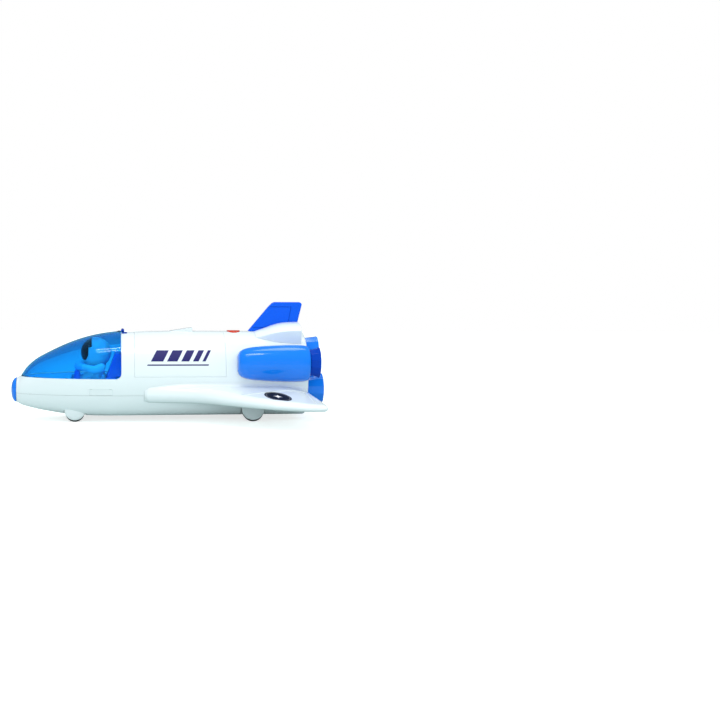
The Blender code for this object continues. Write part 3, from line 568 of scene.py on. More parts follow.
def tube(name, route, sides=28, parts=6):
    """A soft limb through (station, y, height, radius), with round ends."""
    points = [row[1:] for row in finer([(i, *place) for i, place in enumerate(route)], parts)]
    rings = []
    last = len(points) - 1
    domes = [(math.sin(a), math.cos(a)) for a in LIMB_DOME]
    for i, (x, y, z, radius) in enumerate(points):
        ahead = at(*points[min(i + 1, last)][:3]) - at(*points[max(i - 1, 0)][:3])
        ahead.normalize()
        side = Vector((0, 1, 0)) - ahead * ahead.y
        side.normalize()
        up = side.cross(ahead)
        sizes = [(0.0, 1.0)]
        if i == 0:
            sizes = [(-shift, size) for shift, size in reversed(domes)] + sizes
        if i == last:
            sizes += domes
        for shift, size in sizes:
            middle = at(x, y, z) + ahead * shift * radius * MM
            rings.append([middle + (side * math.cos(a) + up * math.sin(a)) * size * radius * MM
                          for a in (2 * math.pi * k / sides for k in range(sides))])
    return loft(name, rings)


# The hull's form


def hull_row(x, grown):
    """The hull's ring at a station, as grow() takes it."""
    half, top, belly, widest = between(NOSE, x) if x <= NOSE[-1][0] else between(TRUNK, x)
    return (x, 0.0, widest, half + grown, top + grown - widest, widest - belly + grown)


def hull_stations(first, last):
    """Stations that crowd towards the tip of the nose, and follow the table behind the cockpit."""
    reach = NOSE[-1][0] - HULL_FRONT
    stations = [HULL_FRONT + reach * (i / NOSE_RINGS) ** RING_CROWDING for i in range(NOSE_RINGS + 1)]
    for near, far in zip(TRUNK, TRUNK[1:]):
        rings = TRUNK_RINGS if far[0] - near[0] > SHORT_STRETCH else 1
        stations += [near[0] + (far[0] - near[0]) * i / rings for i in range(rings)]
    stations.append(HULL_END)
    inside = [x for x in stations if first + RING_GAP < x < last - RING_GAP]
    return [first, *inside, last]


def hull_tube(name, grown=0.0, first=HULL_FRONT, last=HULL_END, front=True, rear=True):
    """The hull's outer form, grown or shrunk, between two stations."""
    rows = [hull_row(x, grown) for x in hull_stations(first, last)]
    return grow(name, rows, HULL_SIDES, belly=BELLY_SHARE, front=front, rear=rear)


def hull_seat(name):
    """The form that a piece on the hull is cut to."""
    return hull_tube(name, FIT, first=SEATS_FROM)


def cockpit_prism(name, inset):
    """The cockpit opening drawn across the toy, with its round lower corner at the back."""
    rear, low = COCKPIT_REAR + FIT - inset, SILL + inset
    obj = box(name, (AHEAD, -WIDE, low), (rear, WIDE, HIGH))
    return rounded(obj, COCKPIT_CORNER, lambda x, y, z: abs(x - rear) < EPS and abs(z - low) < EPS,
                   segments=8)


def hinge_block(name, corners, low_y, high_y):
    """A box whose lowest and highest corner are given from the canopy hinge's axis."""
    x, _, z = CANOPY_HINGE
    (first, low), (last, high) = corners
    return box(name, (x + first, low_y, z + low), (x + last, high_y, z + high))


def screw(name, centre, radius, axis):
    """A small cross-head screw whose head faces down, or back with axis X."""
    x, y, z = centre
    head = bevelled(drum(name, centre, radius, HEAD_TALL, axis, sides=32), width=0.3, segments=2)
    long, face, deep = radius * CROSS_SHARE, HEAD_TALL / 2, CROSS_DEPTH
    for a, b in ((long, CROSS_HALF), (CROSS_HALF, long)):
        if axis == "Z":
            cross = box("cross", (x - a, y - b, z - face - deep), (x + a, y + b, z - face + deep))
        else:
            cross = box("cross", (x + face - deep, y - a, z - b), (x + face + deep, y + a, z + b))
        carve(head, cross)
    return head


def screwed(piece, name, place, kind, axis="Z"):
    """Sinks a screw's well into a piece and gives the screw."""
    well_radius, well_depth, head_radius, sunk = kind
    carve(piece, drum("screw_well", place, well_radius, well_depth, axis, sides=32))
    x, y, z = place
    middle = (x, y, z + sunk) if axis == "Z" else (x - sunk, y, z)
    return screw(name, middle, head_radius, axis)


# Finishes


def sockets(tree, inputs, outputs):
    """Makes a node group's sockets from (name, kind, value)."""
    kinds = {"colour": "NodeSocketColor", "value": "NodeSocketFloat", "vector": "NodeSocketVector"}
    for name, kind, value in inputs:
        socket = tree.interface.new_socket(name, in_out="INPUT", socket_type=kinds[kind])
        if value is not None:
            socket.default_value = value
    for name, kind in outputs:
        tree.interface.new_socket(name, in_out="OUTPUT", socket_type=kinds[kind])


def fill(made, **values):
    """Sets or links a node's inputs by name, or by number after an underscore."""
    for key, value in values.items():
        place = int(key[1:]) if key[0] == "_" and key[1:].isdigit() else key.replace("_", " ")
        if hasattr(value, "is_output"):
            made.id_data.links.new(value, made.inputs[place])
        else:
            made.inputs[place].default_value = value
    return made


def node(tree, kind, settings=None, **values):
    """Adds a shader node, sets its options and fills its inputs."""
    made = tree.nodes.new(kind)
    for key, value in (settings or {}).items():
        setattr(made, key, value)
    return fill(made, **values)


def new_finish(name):
    """A new material, its node tree and its Principled shader."""
    finish = bpy.data.materials.new(name)
    finish.use_nodes = True
    return finish, finish.node_tree, finish.node_tree.nodes["Principled BSDF"]


def maths(tree, operation, *values, clamp=False):
    """A Math node's result."""
    made = node(tree, "ShaderNodeMath", {"operation": operation, "use_clamp": clamp},
                **{f"_{i}": value for i, value in enumerate(values)})
    return made.outputs[0]


def mixed(tree, share_of_second, first, second):
    """Two colours mixed by a share."""
    made = node(tree, "ShaderNodeMix", {"data_type": "RGBA"}, _0=share_of_second, _6=first, _7=second)
    return made.outputs[2]


def moulding_group():
    """Moulded plastic: faint mottling of the colour, smudges in the gloss, and a fine orange peel."""
    tree = bpy.data.node_groups.new("moulded plastic", "ShaderNodeTree")
    sockets(tree, (("Colour", "colour", (0.8, 0.8, 0.8, 1)), ("Roughness", "value", 0.25),
                   ("Mottle", "value", 0.04), ("Smudge", "value", 0.06), ("Peel", "value", 0.02)),
            (("Colour", "colour"), ("Roughness", "value"), ("Normal", "vector")))
    given = tree.nodes.new("NodeGroupInput").outputs
    place = node(tree, "ShaderNodeTexCoord").outputs["Object"]
    cloud = node(tree, "ShaderNodeTexNoise", Vector=place, Scale=22.0, Detail=3.0, Roughness=0.55)
    shade = maths(tree, "SUBTRACT", 1.0, maths(tree, "MULTIPLY", cloud.outputs["Fac"], given["Mottle"]))
    tone = node(tree, "ShaderNodeHueSaturation", Color=given["Colour"], Value=shade)
    film = node(tree, "ShaderNodeTexNoise", Vector=place, Scale=75.0, Detail=4.0, Roughness=0.6)
    spread = maths(tree, "MULTIPLY", maths(tree, "SUBTRACT", film.outputs["Fac"], 0.5), given["Smudge"])
    rough = maths(tree, "ADD", given["Roughness"], spread, clamp=True)
    grain = node(tree, "ShaderNodeTexNoise", Vector=place, Scale=520.0, Detail=2.0, Roughness=0.5)
    bump = node(tree, "ShaderNodeBump", Strength=given["Peel"], Distance=0.0002, Height=grain.outputs["Fac"])
    node(tree, "NodeGroupOutput", Colour=tone.outputs[0], Roughness=rough, Normal=bump.outputs[0])
    return tree


def plastic(name, colour, roughness, mottle=0.04, smudge=0.06, peel=0.05, coat=0.0, gloss=0.5, painted=None):
    """A moulded plastic; painted(tree, colour) may print on it, and gives the colour and where it is matt."""
    finish, tree, shader = new_finish(name)
    group = node(tree, "ShaderNodeGroup", {"node_tree": bpy.data.node_groups["moulded plastic"]},
                 Colour=(*colour, 1), Roughness=roughness, Mottle=mottle, Smudge=smudge, Peel=peel)
    shade, rough, lacquer = group.outputs["Colour"], group.outputs["Roughness"], coat
    if painted:
        shade, matt = painted(tree, shade)
        rough = maths(tree, "ADD", rough, maths(tree, "MULTIPLY", matt, INK_ROUGHNESS), clamp=True)
        lacquer = maths(tree, "MULTIPLY", maths(tree, "SUBTRACT", 1.0, matt), coat)
    fill(shader, Base_Color=shade, Roughness=rough, Normal=group.outputs["Normal"], Coat_Weight=lacquer,
         Coat_Roughness=0.06, Specular_IOR_Level=gloss)
    return finish


def clear_plastic(name, tint, edge_tint, lamp_tint):
    """Clear tinted plastic, deeper where it is seen edge on, that lets the lamps' light through."""
    finish, tree, shader = new_finish(name)
    place = node(tree, "ShaderNodeTexCoord").outputs["Object"]
    film = node(tree, "ShaderNodeTexNoise", Vector=place, Scale=90.0, Detail=3.0)
    rough = node(tree, "ShaderNodeMapRange", Value=film.outputs["Fac"], From_Min=0.3, From_Max=0.8,
                 To_Min=0.01, To_Max=0.035)
    slant = node(tree, "ShaderNodeLayerWeight", Blend=0.5).outputs["Facing"]
    colour = mixed(tree, maths(tree, "POWER", slant, 1.2), (*tint, 1), (*edge_tint, 1))
    fill(shader, Base_Color=colour, Roughness=rough.outputs[0], IOR=1.3, Transmission_Weight=1.0)
    through = node(tree, "ShaderNodeBsdfTransparent", Color=(*lamp_tint, 1))
    lamps = node(tree, "ShaderNodeLightPath").outputs["Is Shadow Ray"]
    mix = node(tree, "ShaderNodeMixShader", _0=lamps, _1=shader.outputs[0], _2=through.outputs[0])
    fill(tree.nodes["Material Output"], Surface=mix.outputs[0])
    return finish


def steel(name, colour):
    """Drawn steel wire, with fine lines round it."""
    finish, tree, shader = new_finish(name)
    place = node(tree, "ShaderNodeTexCoord").outputs["Object"]
    stretched = node(tree, "ShaderNodeMapping", Vector=place, Scale=(1.0, 30.0, 1.0)).outputs[0]
    lines = node(tree, "ShaderNodeTexNoise", Vector=stretched, Scale=60.0, Detail=4.0)
    rough = node(tree, "ShaderNodeMapRange", Value=lines.outputs["Fac"], To_Min=0.18, To_Max=0.42)
    bump = node(tree, "ShaderNodeBump", Strength=0.15, Distance=0.0001, Height=lines.outputs["Fac"])
    fill(shader, Base_Color=(*colour, 1), Metallic=1.0, Roughness=rough.outputs[0], Normal=bump.outputs[0])
    return finish


WHITE_TONE = (0.70, 0.78, 0.81)
NAVY = (0.010, 0.008, 0.13, 1)
INK = (0.006, 0.006, 0.007)
SILVER = (0.78, 0.80, 0.82, 1)
INK_ROUGHNESS = 0.35  # how much rougher print is than the plastic round it
# front and rear station of each printed bar at its foot, its foot and its top
DOOR_BARS = (
    (148.0, 161.0, 66.0, 77.5),
    (165.0, 176.0, 66.0, 77.5),
    (180.0, 188.5, 66.0, 77.5),
    (192.5, 198.5, 66.0, 77.5),
    (202.5, 206.0, 66.0, 77.5),
    (144.0, 209.0, 61.6, 63.0),
)
BAR_SLANT = 0.55  # millimetres back for each millimetre up
DOOR_OUTSIDE = 0.96  # what the trunk's oval gives on a door's outer face, and not on its inner one
STICKER, STICKER_SIDES = (278.0, 86.0), 64
# how far the oval reaches back and out at its rear end, and at its outer side
STICKER_REACH = ((13.4, 7.5), (-0.9, 15.5))
STICKER_FOIL, STICKER_GAP = 0.08, 0.01
RING_REACH, RING_WIDTH, RING_INK = 0.86, 0.03, 0.35
STAR_REACH, STAR_CURVE = 0.60, 0.55


def places(tree):
    """The station, distance from the centreline and height of the place that is shaded, in millimetres."""
    place = node(tree, "ShaderNodeTexCoord").outputs["Object"]
    apart = node(tree, "ShaderNodeSeparateXYZ", Vector=place).outputs
    x = maths(tree, "SUBTRACT", maths(tree, "DIVIDE", apart[0], MM), NOSE_TIP)
    y = maths(tree, "ABSOLUTE", maths(tree, "DIVIDE", apart[1], MM))
    return x, y, maths(tree, "DIVIDE", apart[2], MM)


def door_print(tree, colour):
    """Slanting bars over a long thin one, printed in navy on the outside of each door."""
    x, y, z = places(tree)
    along = maths(tree, "SUBTRACT", x, maths(tree, "MULTIPLY", z, BAR_SLANT))
    mask = None
    for first, last, low, high in DOOR_BARS:
        shift = low * BAR_SLANT
        inside = maths(tree, "MULTIPLY",
                       maths(tree, "COMPARE", along, (first + last) / 2 - shift, (last - first) / 2),
                       maths(tree, "COMPARE", z, (low + high) / 2, (high - low) / 2))
        mask = inside if mask is None else maths(tree, "MAXIMUM", mask, inside)
    half, top, _, widest = TRUNK[2][1:]
    across = maths(tree, "POWER", maths(tree, "DIVIDE", y, half), 2.0)
    up = maths(tree, "POWER", maths(tree, "DIVIDE", maths(tree, "SUBTRACT", z, widest), top - widest), 2.0)
    outside = maths(tree, "GREATER_THAN", maths(tree, "ADD", across, up), DOOR_OUTSIDE)
    ink = maths(tree, "MULTIPLY", mask, outside)
    return mixed(tree, ink, colour, NAVY), ink


def sticker_print(tree, colour):
    """A thin ring and a four-pointed star on the black foil."""
    x, y, _ = places(tree)
    back, out = maths(tree, "SUBTRACT", x, STICKER[0]), maths(tree, "SUBTRACT", y, STICKER[1])
    (a, b), (c, d) = STICKER_REACH
    area = a * d - b * c
    parts = []
    for ahead, by_ahead, aside, by_aside in ((back, d, out, c), (out, a, back, b)):
        full = maths(tree, "MULTIPLY", ahead, by_ahead / area)
        less = maths(tree, "MULTIPLY", aside, by_aside / area)
        parts.append(maths(tree, "ABSOLUTE", maths(tree, "SUBTRACT", full, less)))
    squares, curves = ([maths(tree, "POWER", part, power) for part in parts] for power in (2.0, STAR_CURVE))
    reach = maths(tree, "SQRT", maths(tree, "ADD", *squares))
    ring = maths(tree, "COMPARE", reach, RING_REACH, RING_WIDTH / 2)
    star = maths(tree, "LESS_THAN", maths(tree, "ADD", *curves), STAR_REACH)
    ink = maths(tree, "MAXIMUM", maths(tree, "MULTIPLY", ring, RING_INK), star)
    return mixed(tree, ink, colour, SILVER), ink


def make_finishes():
    moulding_group()
    return {
        "white": plastic("white_shell", WHITE_TONE, 0.2, coat=0.1),
        "door": plastic("white_door", WHITE_TONE, 0.2, coat=0.1, painted=door_print),
        "foil": plastic("sticker_foil", INK, 0.45, mottle=0.0, gloss=0.1, painted=sticker_print),
        "bright": plastic("bright_blue", (0.005, 0.185, 0.80), 0.14, coat=0.2, gloss=0.35),
        # the darker blue is deepened past the bells' own blue to paint the shade the pods cast on their
        # bells; the canopy hinge wears it as plain dark blue
        "dark_and_shade": plastic("dark_blue", (0.0006, 0.045, 0.40), 0.2, gloss=0.1),
        "fin": plastic("fin_blue", (0.002, 0.100, 0.76), 0.36, gloss=0.12),
        "cockpit": plastic("cockpit_blue", (0.30, 0.70, 0.96), 0.3),
        "seat": plastic("seat_blue", (0.006, 0.19, 0.78), 0.32),
        "clear": clear_plastic("clear_blue", (0.06, 0.50, 0.87), (0.004, 0.17, 0.52), (0.60, 0.88, 0.97)),
        "figure": plastic("figure_white", (0.82, 0.86, 0.88), 0.3),
        "visor": plastic("visor_black", (0.003, 0.004, 0.008), 0.08, mottle=0.2, gloss=0.2),
        "liner": plastic("liner_grey", (0.55, 0.60, 0.64), 0.42),
        "button": plastic("button_red", (0.58, 0.045, 0.018), 0.25),
        "steel": steel("axle_steel", (0.62, 0.62, 0.64)),
        "rubber": plastic("wheel_rubber", (0.018, 0.018, 0.02), 0.55, mottle=0.3, smudge=0.2, peel=0.4),
    }


FINISH = make_finishes()

# Shells


def button_blank(name, gap):
    """The button's oval, drawn up through the hull's top."""
    half_x, half_y = BUTTON_HALF
    centre = (BUTTON_STATION, 0, BUTTON_MIDDLE)
    obj = drum(name, centre, 1.0, BUTTON_TALL, "Z", sides=64)
    return whole(obj, bpy.ops.transform.resize, value=(half_x + gap, half_y + gap, 1),
                 center_override=at(*centre))


def make_upper_hull():
    hull = hull_tube("hull_upper_shell", rear=False)
    slice_off(hull, (0, 0, SEAM + JOINT), (0, 0, -1), fill=False)
    thicken(hull, SHELL)
    carve(hull, cockpit_prism("opening", 0.0))
    carve(hull, box("bay", (BAY_FRONT, -WIDE, DOOR_FOOT), (BAY_REAR, WIDE, HIGH)))
    hatch = box("hatch", (HATCH[0], -WIDE, SEAM - PLATE), (HATCH[1], WIDE, HATCH_TOP))
    rounded(hatch, HATCH_ROUND, lambda x, y, z: abs(z - HATCH_TOP) < EPS and abs(y) < EPS)
    carve(hatch, hull_tube("hatch_floor", -HATCH_DEPTH))
    notch = hinge_block("notch", NOTCH, -NOTCH_HALF, NOTCH_HALF)
    carve(hull, hatch, button_blank("button_hole", FIT), notch)
    bevelled(hull)
    settle(hull, "white", "root", ["hull_upper"])


def spat(name, side, x, inner, wheel_radius):
    """A shallow dome that covers a wheel's outer face."""
    radius = wheel_radius + SPAT_OVER
    middle = (x, side * (inner + SPAT_RIM / 2), wheel_radius + SPAT_LIFT)
    dome = drum(name, middle, radius, SPAT_RIM, sides=96)
    edit(dome)
    pick("FACE", lambda px, py, pz, normal: side * normal.y > FACING)
    for i in range(SPAT_STEPS):
        near, far = (math.pi / 2 * k / (SPAT_STEPS + 1) for k in (i, i + 1))
        narrower = radius * (math.cos(near) - math.cos(far))
        bpy.ops.mesh.inset(thickness=narrower * MM, depth=SPAT_BULGE * (math.sin(far) - math.sin(near)) * MM)
    done()
    return dome


def make_lower_hull():
    hull = hull_tube("hull_lower_shell")
    slice_off(hull, (0, 0, SEAM), (0, 0, 1))
    for name, (x, track, radius, _) in WHEELS.items():
        for side, tag in SIDES:
            merge(hull, spat(f"spat_{name}_{tag}", side, x, track + FIT, radius))
    for name, (x, track, radius, width) in WHEELS.items():
        room = radius + WHEEL_ROOM
        low, high = (x - room, WELL_FOOT), (x + room, radius + room)
        inner, outer = track - width - WELL_INNER_GAP, track + WELL_OUTER_GAP
        for side, tag in SIDES:
            carve(hull, side_box(f"well_{name}_{tag}", side, inner, outer, low, high))
        carve(hull, drum(f"tunnel_{name}", (x, 0, radius), AXLE_RADIUS + FIT, 2 * track, sides=24))
    deep, half = COVER_HIGH + FIT, BATTERY_HALF + FIT
    carve(hull, box("battery_recess", (BATTERY[0] - FIT, -half, 0), (BATTERY[1] + FIT, half, deep)))
    carve(hull, drum("speaker_recess", (SPEAKER, 0, 0), SPEAKER_RADIUS + FIT, 2 * deep, "Z"))
    screws = []
    for x in BELLY_SCREWS:
        for side, _ in SIDES:
            place = (x, side * BELLY_SCREW_Y, BELLY_WELL)
            screws.append(screwed(hull, f"belly_screw_{len(screws)}", place, BELLY_SCREW))
    bevelled(hull)
    settle(hull, "white", "root", ["hull_lower"])
    settle(gather("belly_screws", screws), "steel", "root")


def make_covers():
    front, rear = BATTERY
    cover = box("battery_lid", (front, -BATTERY_HALF, COVER_LOW), (rear, BATTERY_HALF, COVER_HIGH))
    for i in range(GRIPS):
        x = front + GRIP_INSET + GRIP_PITCH * i
        carve(cover, box("grip", (x, -GRIP_HALF, 0), (x + GRIP_WIDTH, GRIP_HALF, COVER_LOW + GRIP_DEPTH)))
    lid_screw = screwed(cover, "battery_lid_screw", (rear - LID_SCREW_INSET, 0, COVER_LOW), LID_SCREW)
    ahead, behind, beside = LID_FIELD
    half, deep = BATTERY_HALF - beside, COVER_LOW + LID_FIELD_DEPTH
    carve(cover, box("lid_field", (front + ahead, -half, 0), (rear - behind, half, deep)))
    bevelled(cover, width=0.3)
    settle(cover, "white", "root", ["battery_cover"])
    settle(lid_screw, "steel", "root")

    middle = (SPEAKER, 0, (COVER_LOW + COVER_HIGH) / 2)
    grille = drum("speaker_disc", middle, SPEAKER_RADIUS, COVER_HIGH - COVER_LOW, "Z", sides=96)
    for i in range(SLOTS):
        y = (i - (SLOTS - 1) / 2) * SLOT_PITCH
        reach = math.sqrt(SLOT_RING ** 2 - y ** 2)
        slot = box("slot", (SPEAKER - reach, y - SLOT_HALF, 0),
                   (SPEAKER + reach, y + SLOT_HALF, 2 * COVER_HIGH))
        rounded(slot, SLOT_ROUND, lambda px, py, pz: abs(abs(px - SPEAKER) - reach) < EPS
                and abs(abs(py - y) - SLOT_HALF) < EPS)
        carve(grille, slot)
    bevelled(grille, width=0.3)
    settle(grille, "white", "root", ["speaker_grille"])


def make_bulkhead():
    face = HULL_END - BULKHEAD_SUNK
    plate = hull_tube("tail_plate", -SHELL - FIT, first=face - PLATE, last=face)
    slice_off(plate, (0, 0, SEAM + 2 * FIT), (0, 0, -1))
    bevelled(plate, width=0.4)
    screws = []
    for y, z in TAIL_SCREWS:
        for side, _ in SIDES:
            place = (face, side * y, z)
            screws.append(screwed(plate, f"tail_screw_{len(screws)}", place, TAIL_SCREW, "X"))
    settle(plate, "white", "root", ["rear_bulkhead"])
    settle(gather("tail_screws", screws), "steel", "root")


def make_nose_cap():
    depth = HULL_FRONT - FIT
    _, _, widest, half, rise, fall = hull_row(HULL_FRONT, 0.0)
    rows = []
    for i in range(NOSE_CAP_RINGS + 1):
        angle = max(math.pi / 2 * i / NOSE_CAP_RINGS, NOSE_CAP_TIP)
        size = math.sin(angle)
        rows.append((depth * (1 - math.cos(angle)), 0.0, widest, half * size, rise * size, fall * size))
    cap = grow("nose_dome", rows, NOSE_CAP_SIDES, belly=BELLY_SHARE)
    bevelled(cap, width=0.3)
    settle(cap, "bright", "root", ["nose_cap"])


def make_canopy():
    canopy = hull_tube("canopy_shell", last=NOSE[-1][0], front=False, rear=False)
    slice_off(canopy, (0, 0, SILL + FIT), (0, 0, -1), fill=False)
    thicken(canopy, GLAZING)
    share(canopy, cockpit_prism("canopy_region", FIT))
    carve(canopy, hinge_block("canopy_notch", NOTCH, -NOTCH_HALF, NOTCH_HALF))
    merge(canopy, drum("lug", CANOPY_HINGE, LUG_RADIUS, 2 * LUG_HALF, sides=32))
    merge(canopy, hinge_block("lug_arm", LUG_ARM, -LUG_HALF, LUG_HALF))
    bevelled(canopy, width=0.3)
    settle(canopy, "clear", "canopy", ["canopy"])


def make_canopy_hinge():
    x, _, z = CANOPY_HINGE
    base = hinge_block("hinge_bracket", BRACKET, -BRACKET_HALF, BRACKET_HALF)
    for side, _ in SIDES:
        y = side * KNUCKLE_Y
        merge(base, drum("knuckle", (x, y, z), KNUCKLE_RADIUS, 2 * KNUCKLE_HALF, sides=40))
        merge(base, hinge_block("ear", EAR, y - KNUCKLE_HALF, y + KNUCKLE_HALF))
    bevelled(base, width=0.25)
    settle(base, "dark_and_shade", "root", ["canopy_hinge"])


def make_doors():
    door = hull_tube("door_panel_port", first=TRUNK[0][0], front=False, rear=False)
    slice_off(door, (BAY_FRONT + JOINT, 0, 0), (-1, 0, 0), fill=False)
    slice_off(door, (BAY_REAR - JOINT, 0, 0), (1, 0, 0), fill=False)
    slice_off(door, (0, 0, DOOR_FOOT + JOINT), (0, 0, -1), fill=False)
    slice_off(door, (0, -DOOR_MEETING, 0), (0, 1, 0), fill=False)
    thicken(door, SHELL)
    wedge = ((TAB_FRONT, TAB_FOOT), (TAB_REAR, TAB_FOOT), (TAB_REAR, TAB_TOP),
             (TAB_REAR - TAB_CHAMFER, TAB_TOP), (TAB_FRONT, TAB_LOW))
    merge(door, side_prism("tab", wedge, -TAB_HALF, -TAB_INNER))
    bevelled(door)
    settle_pair(door, "door", "bay_door_{}", "door_{}")


def make_bay():
    liner = hull_tube("bay_tray", -TRAY_SKIN, first=BAY_FRONT - PLATE, last=BAY_REAR + PLATE)
    slice_off(liner, (0, 0, BAY_FLOOR - PLATE), (0, 0, -1))
    front, rear = BAY_FRONT + POCKET_GAP, BAY_REAR - POCKET_GAP
    pocket = hull_tube("bay_pocket", -TRAY_SKIN - PLATE, first=front, last=rear)
    slice_off(pocket, (0, 0, BAY_FLOOR), (0, 0, -1))
    carve(liner, pocket, box("mouth", (front, -WIDE, DOOR_FOOT - MOUTH_DROP), (rear, WIDE, HIGH)))
    for i in range(RIBS):
        x = front + (rear - front) * (i + 1) / (RIBS + 1)
        merge(liner, box("rib", (x - RIB_HALF, -RIB_REACH, BAY_FLOOR - RIB_SUNK),
                         (x + RIB_HALF, RIB_REACH, BAY_FLOOR + RIB_RISE)))
    bevelled(liner, width=0.3)
    settle(liner, "liner", "root", ["bay_liner"])


def make_button():
    button = button_blank("oval_button", 0.0)
    slice_off(button, (0, 0, BUTTON_FOOT), (0, 0, -1))
    share(button, hull_tube("button_top", BUTTON_RISE, first=BUTTON_TOP_FROM))
    bevelled(button, width=0.5, segments=4)
    settle(button, "button", "root", ["push_button"])


# Tail and engines


def make_fin():
    fin = side_prism("fin_blade", FIN, -FIN_HALF, FIN_HALF)
    bevelled(fin, width=FIN_ROUND, segments=4)
    for (x0, z0), (x1, z1) in FIN_LINES:
        way = Vector((x1 - x0, z1 - z0)).normalized() * GROOVE_HALF
        corners = [(x0 - way.x - way.y, z0 - way.y + way.x), (x0 - way.x + way.y, z0 - way.y - way.x),
                   (x1 + way.x + way.y, z1 + way.y - way.x), (x1 + way.x - way.y, z1 + way.y + way.x)]
        for low, high in ((-FIN_HALF - 1, GROOVE_DEPTH - FIN_HALF), (FIN_HALF - GROOVE_DEPTH, FIN_HALF + 1)):
            carve(fin, side_prism("fin_groove", corners, low, high))
    carve(fin, hull_seat("fin_seat"))
    settle(fin, "fin", "root", ["tail_fin"])


def fairing_ring(row):
    """A fairing's section: a crown beside the fin, a bow down to the crease, and a side face below it."""
    x, top, crease_y, crease_z, foot_y, foot_z = row
    outline = [(FAIRING_INNER, top - FAIRING_DEPTH), (FAIRING_INNER, top)]
    for out in FAIRING_CROWN:
        outline.append((crease_y * out, top - (top - crease_z) * out ** FAIRING_BOW))
    outline += [(crease_y, crease_z), (foot_y, foot_z),
                (foot_y - FAIRING_DEPTH / 3, foot_z - FAIRING_DEPTH / 2)]
    return [at(x, -y, z) for y, z in outline]


def make_fairings():
    fairing = loft("fairing_port", [fairing_ring(row) for row in finer(FAIRING)])
    bevelled(fairing, width=0.7, segments=4, angle=35)
    carve(fairing, hull_seat("fairing_seat"))
    settle_pair(fairing, "white", "tail_fairing_{}")


def make_pods():
    y, z = POD_CENTRE
    rows = [(x, -y, z, radius, radius, radius) for x, radius in finer(POD)]
    pod = grow("pod_port", rows, sides=96)
    bevelled(pod, width=0.5, segments=3)
    carve(pod, hull_seat("pod_seat"))
    settle_pair(pod, "bright", "engine_pod_{}")


def make_bells():
    """Open twelve-sided bells that flare towards the rim."""
    for name, ((y, z), rim, radius, rim_radius) in BELLS.items():
        rows = []
        for i in range(BELL_STEPS + 1):
            along = i / BELL_STEPS
            size = radius + (rim_radius - radius) * along ** BELL_CURVE
            rows.append((BELL_FRONT + (rim - BELL_FRONT) * along, y, z, size, size, size))
        bell = grow(f"{name}_cup", rows, BELL_SIDES, turn=BELL_TURN, rear=False)
        thicken(bell, BELL_WALL)
        slice_off(bell, (rim - BELL_TRIM, 0, 0), (1, 0, 0))
        bevelled(bell, width=BELL_ROUND, segments=3, angle=20)
        # the pod bells take the darker blue, which paints the shade their pods cast on them
        finish = "dark_and_shade" if name.startswith("pod") else "bright"
        settle(bell, finish, "root", [name], angle=20)


# Wings


def round_edge(distance, radius):
    """How full the wing is at a distance from its edge: nothing at the edge, all of it past the radius."""
    short = 1 - min(max(distance / radius, 0.0), 1.0)
    return math.sqrt(1 - short * short)


def distance_to(x, y, line):
    """The shortest distance in plan from a place to a line of points."""
    shortest = math.inf
    for (ax, ay), (bx, by) in zip(line, line[1:]):
        wx, wy = bx - ax, by - ay
        along = min(max(((x - ax) * wx + (y - ay) * wy) / (wx * wx + wy * wy), 0.0), 1.0)
        shortest = min(shortest, math.hypot(x - ax - wx * along, y - ay - wy * along))
    return shortest


def wing_top(x, y):
    """Height of the wing's upper face, before its edges are rounded."""
    out = y - WING_ROOT
    droop = DROOP * max(0.0, (x - DROOP_FROM) / DROOP_LENGTH) ** 1.5 * max(0.0, 1 - out / DROOP_SPAN)
    return WING_ROOT_TOP - WING_FALL * out - droop


def root_fillet(x, y):
    """How far the wing's top swells up where it meets the hull."""
    out = min(max((y - WING_ROOT) / WING_FILLET, 0.0), 1.0)
    begun = min(max((x - WING[0][1]) / FILLET_RUN, 0.0), 1.0)
    return WING_FILLET * begun * (1 - math.sqrt(1 - (1 - out) ** 2))


def wing_ring(y, front, rear, lead, trail):
    """The port wing's section at one distance from the centreline, as a closed loop."""
    top, bottom = [], []
    for i in range(WING_STEPS + 1):
        x = front + (rear - front) * (1 - math.cos(math.pi * i / WING_STEPS)) / 2
        full = round_edge(distance_to(x, y, lead), WING_EDGE)
        full *= round_edge(distance_to(x, y, trail), WING_TAIL)
        high = wing_top(x, y)
        low = WING_ROOT_BOTTOM + WING_RISE * (y - WING_ROOT)
        middle, half = (high + low) / 2, max((high - low) / 2 * full, WING_LIP)
        top.append(at(x, -y, middle + half + root_fillet(x, y) * full))
        bottom.append(at(x, -y, middle - half))
    return top + bottom[::-1]


def make_sticker(floor):
    """A thin oval foil that lies on the recess's floor."""
    (a, b), (c, d) = STICKER_REACH
    outline = []
    for i in range(STICKER_SIDES):
        turn = 2 * math.pi * i / STICKER_SIDES
        outline.append((STICKER[0] + a * math.cos(turn) + c * math.sin(turn),
                        -STICKER[1] - b * math.cos(turn) - d * math.sin(turn)))
    foil = flat_prism("wing_sticker_port", outline, RECESS_LOW, WING_ROOT_TOP)
    share(foil, lifted(floor, "foil_top", STICKER_FOIL))
    return carve(foil, lifted(floor, "foil_foot", STICKER_GAP))


def make_wings():
    rows = finer(WING)
    lead = [(front, y) for y, front, _ in rows if y >= WING_ROOT] + [(WING[-1][2], WING[-1][0])]
    trail = [(WING[1][2], 0.0)] + [(rear, y) for y, _, rear in rows if y >= WING_ROOT]
    wing = loft("wing_panel_port", [wing_ring(y, front, rear, lead, trail) for y, front, rear in rows])
    floor = lifted(wing, "recess_floor", -RECESS_DEPTH)
    recess = flat_prism("recess", [(x, -y) for x, y in RECESS], RECESS_LOW, RECESS_HIGH)
    rounded(recess, RECESS_ROUND, lambda x, y, z: RECESS_LOW + 1 < z < RECESS_HIGH - 1)
    foil = make_sticker(floor)
    carve(recess, floor)
    carve(wing, recess, hull_seat("wing_seat"))
    settle_pair(wing, "white", "wing_{}")
    settle_pair(foil, "foil")


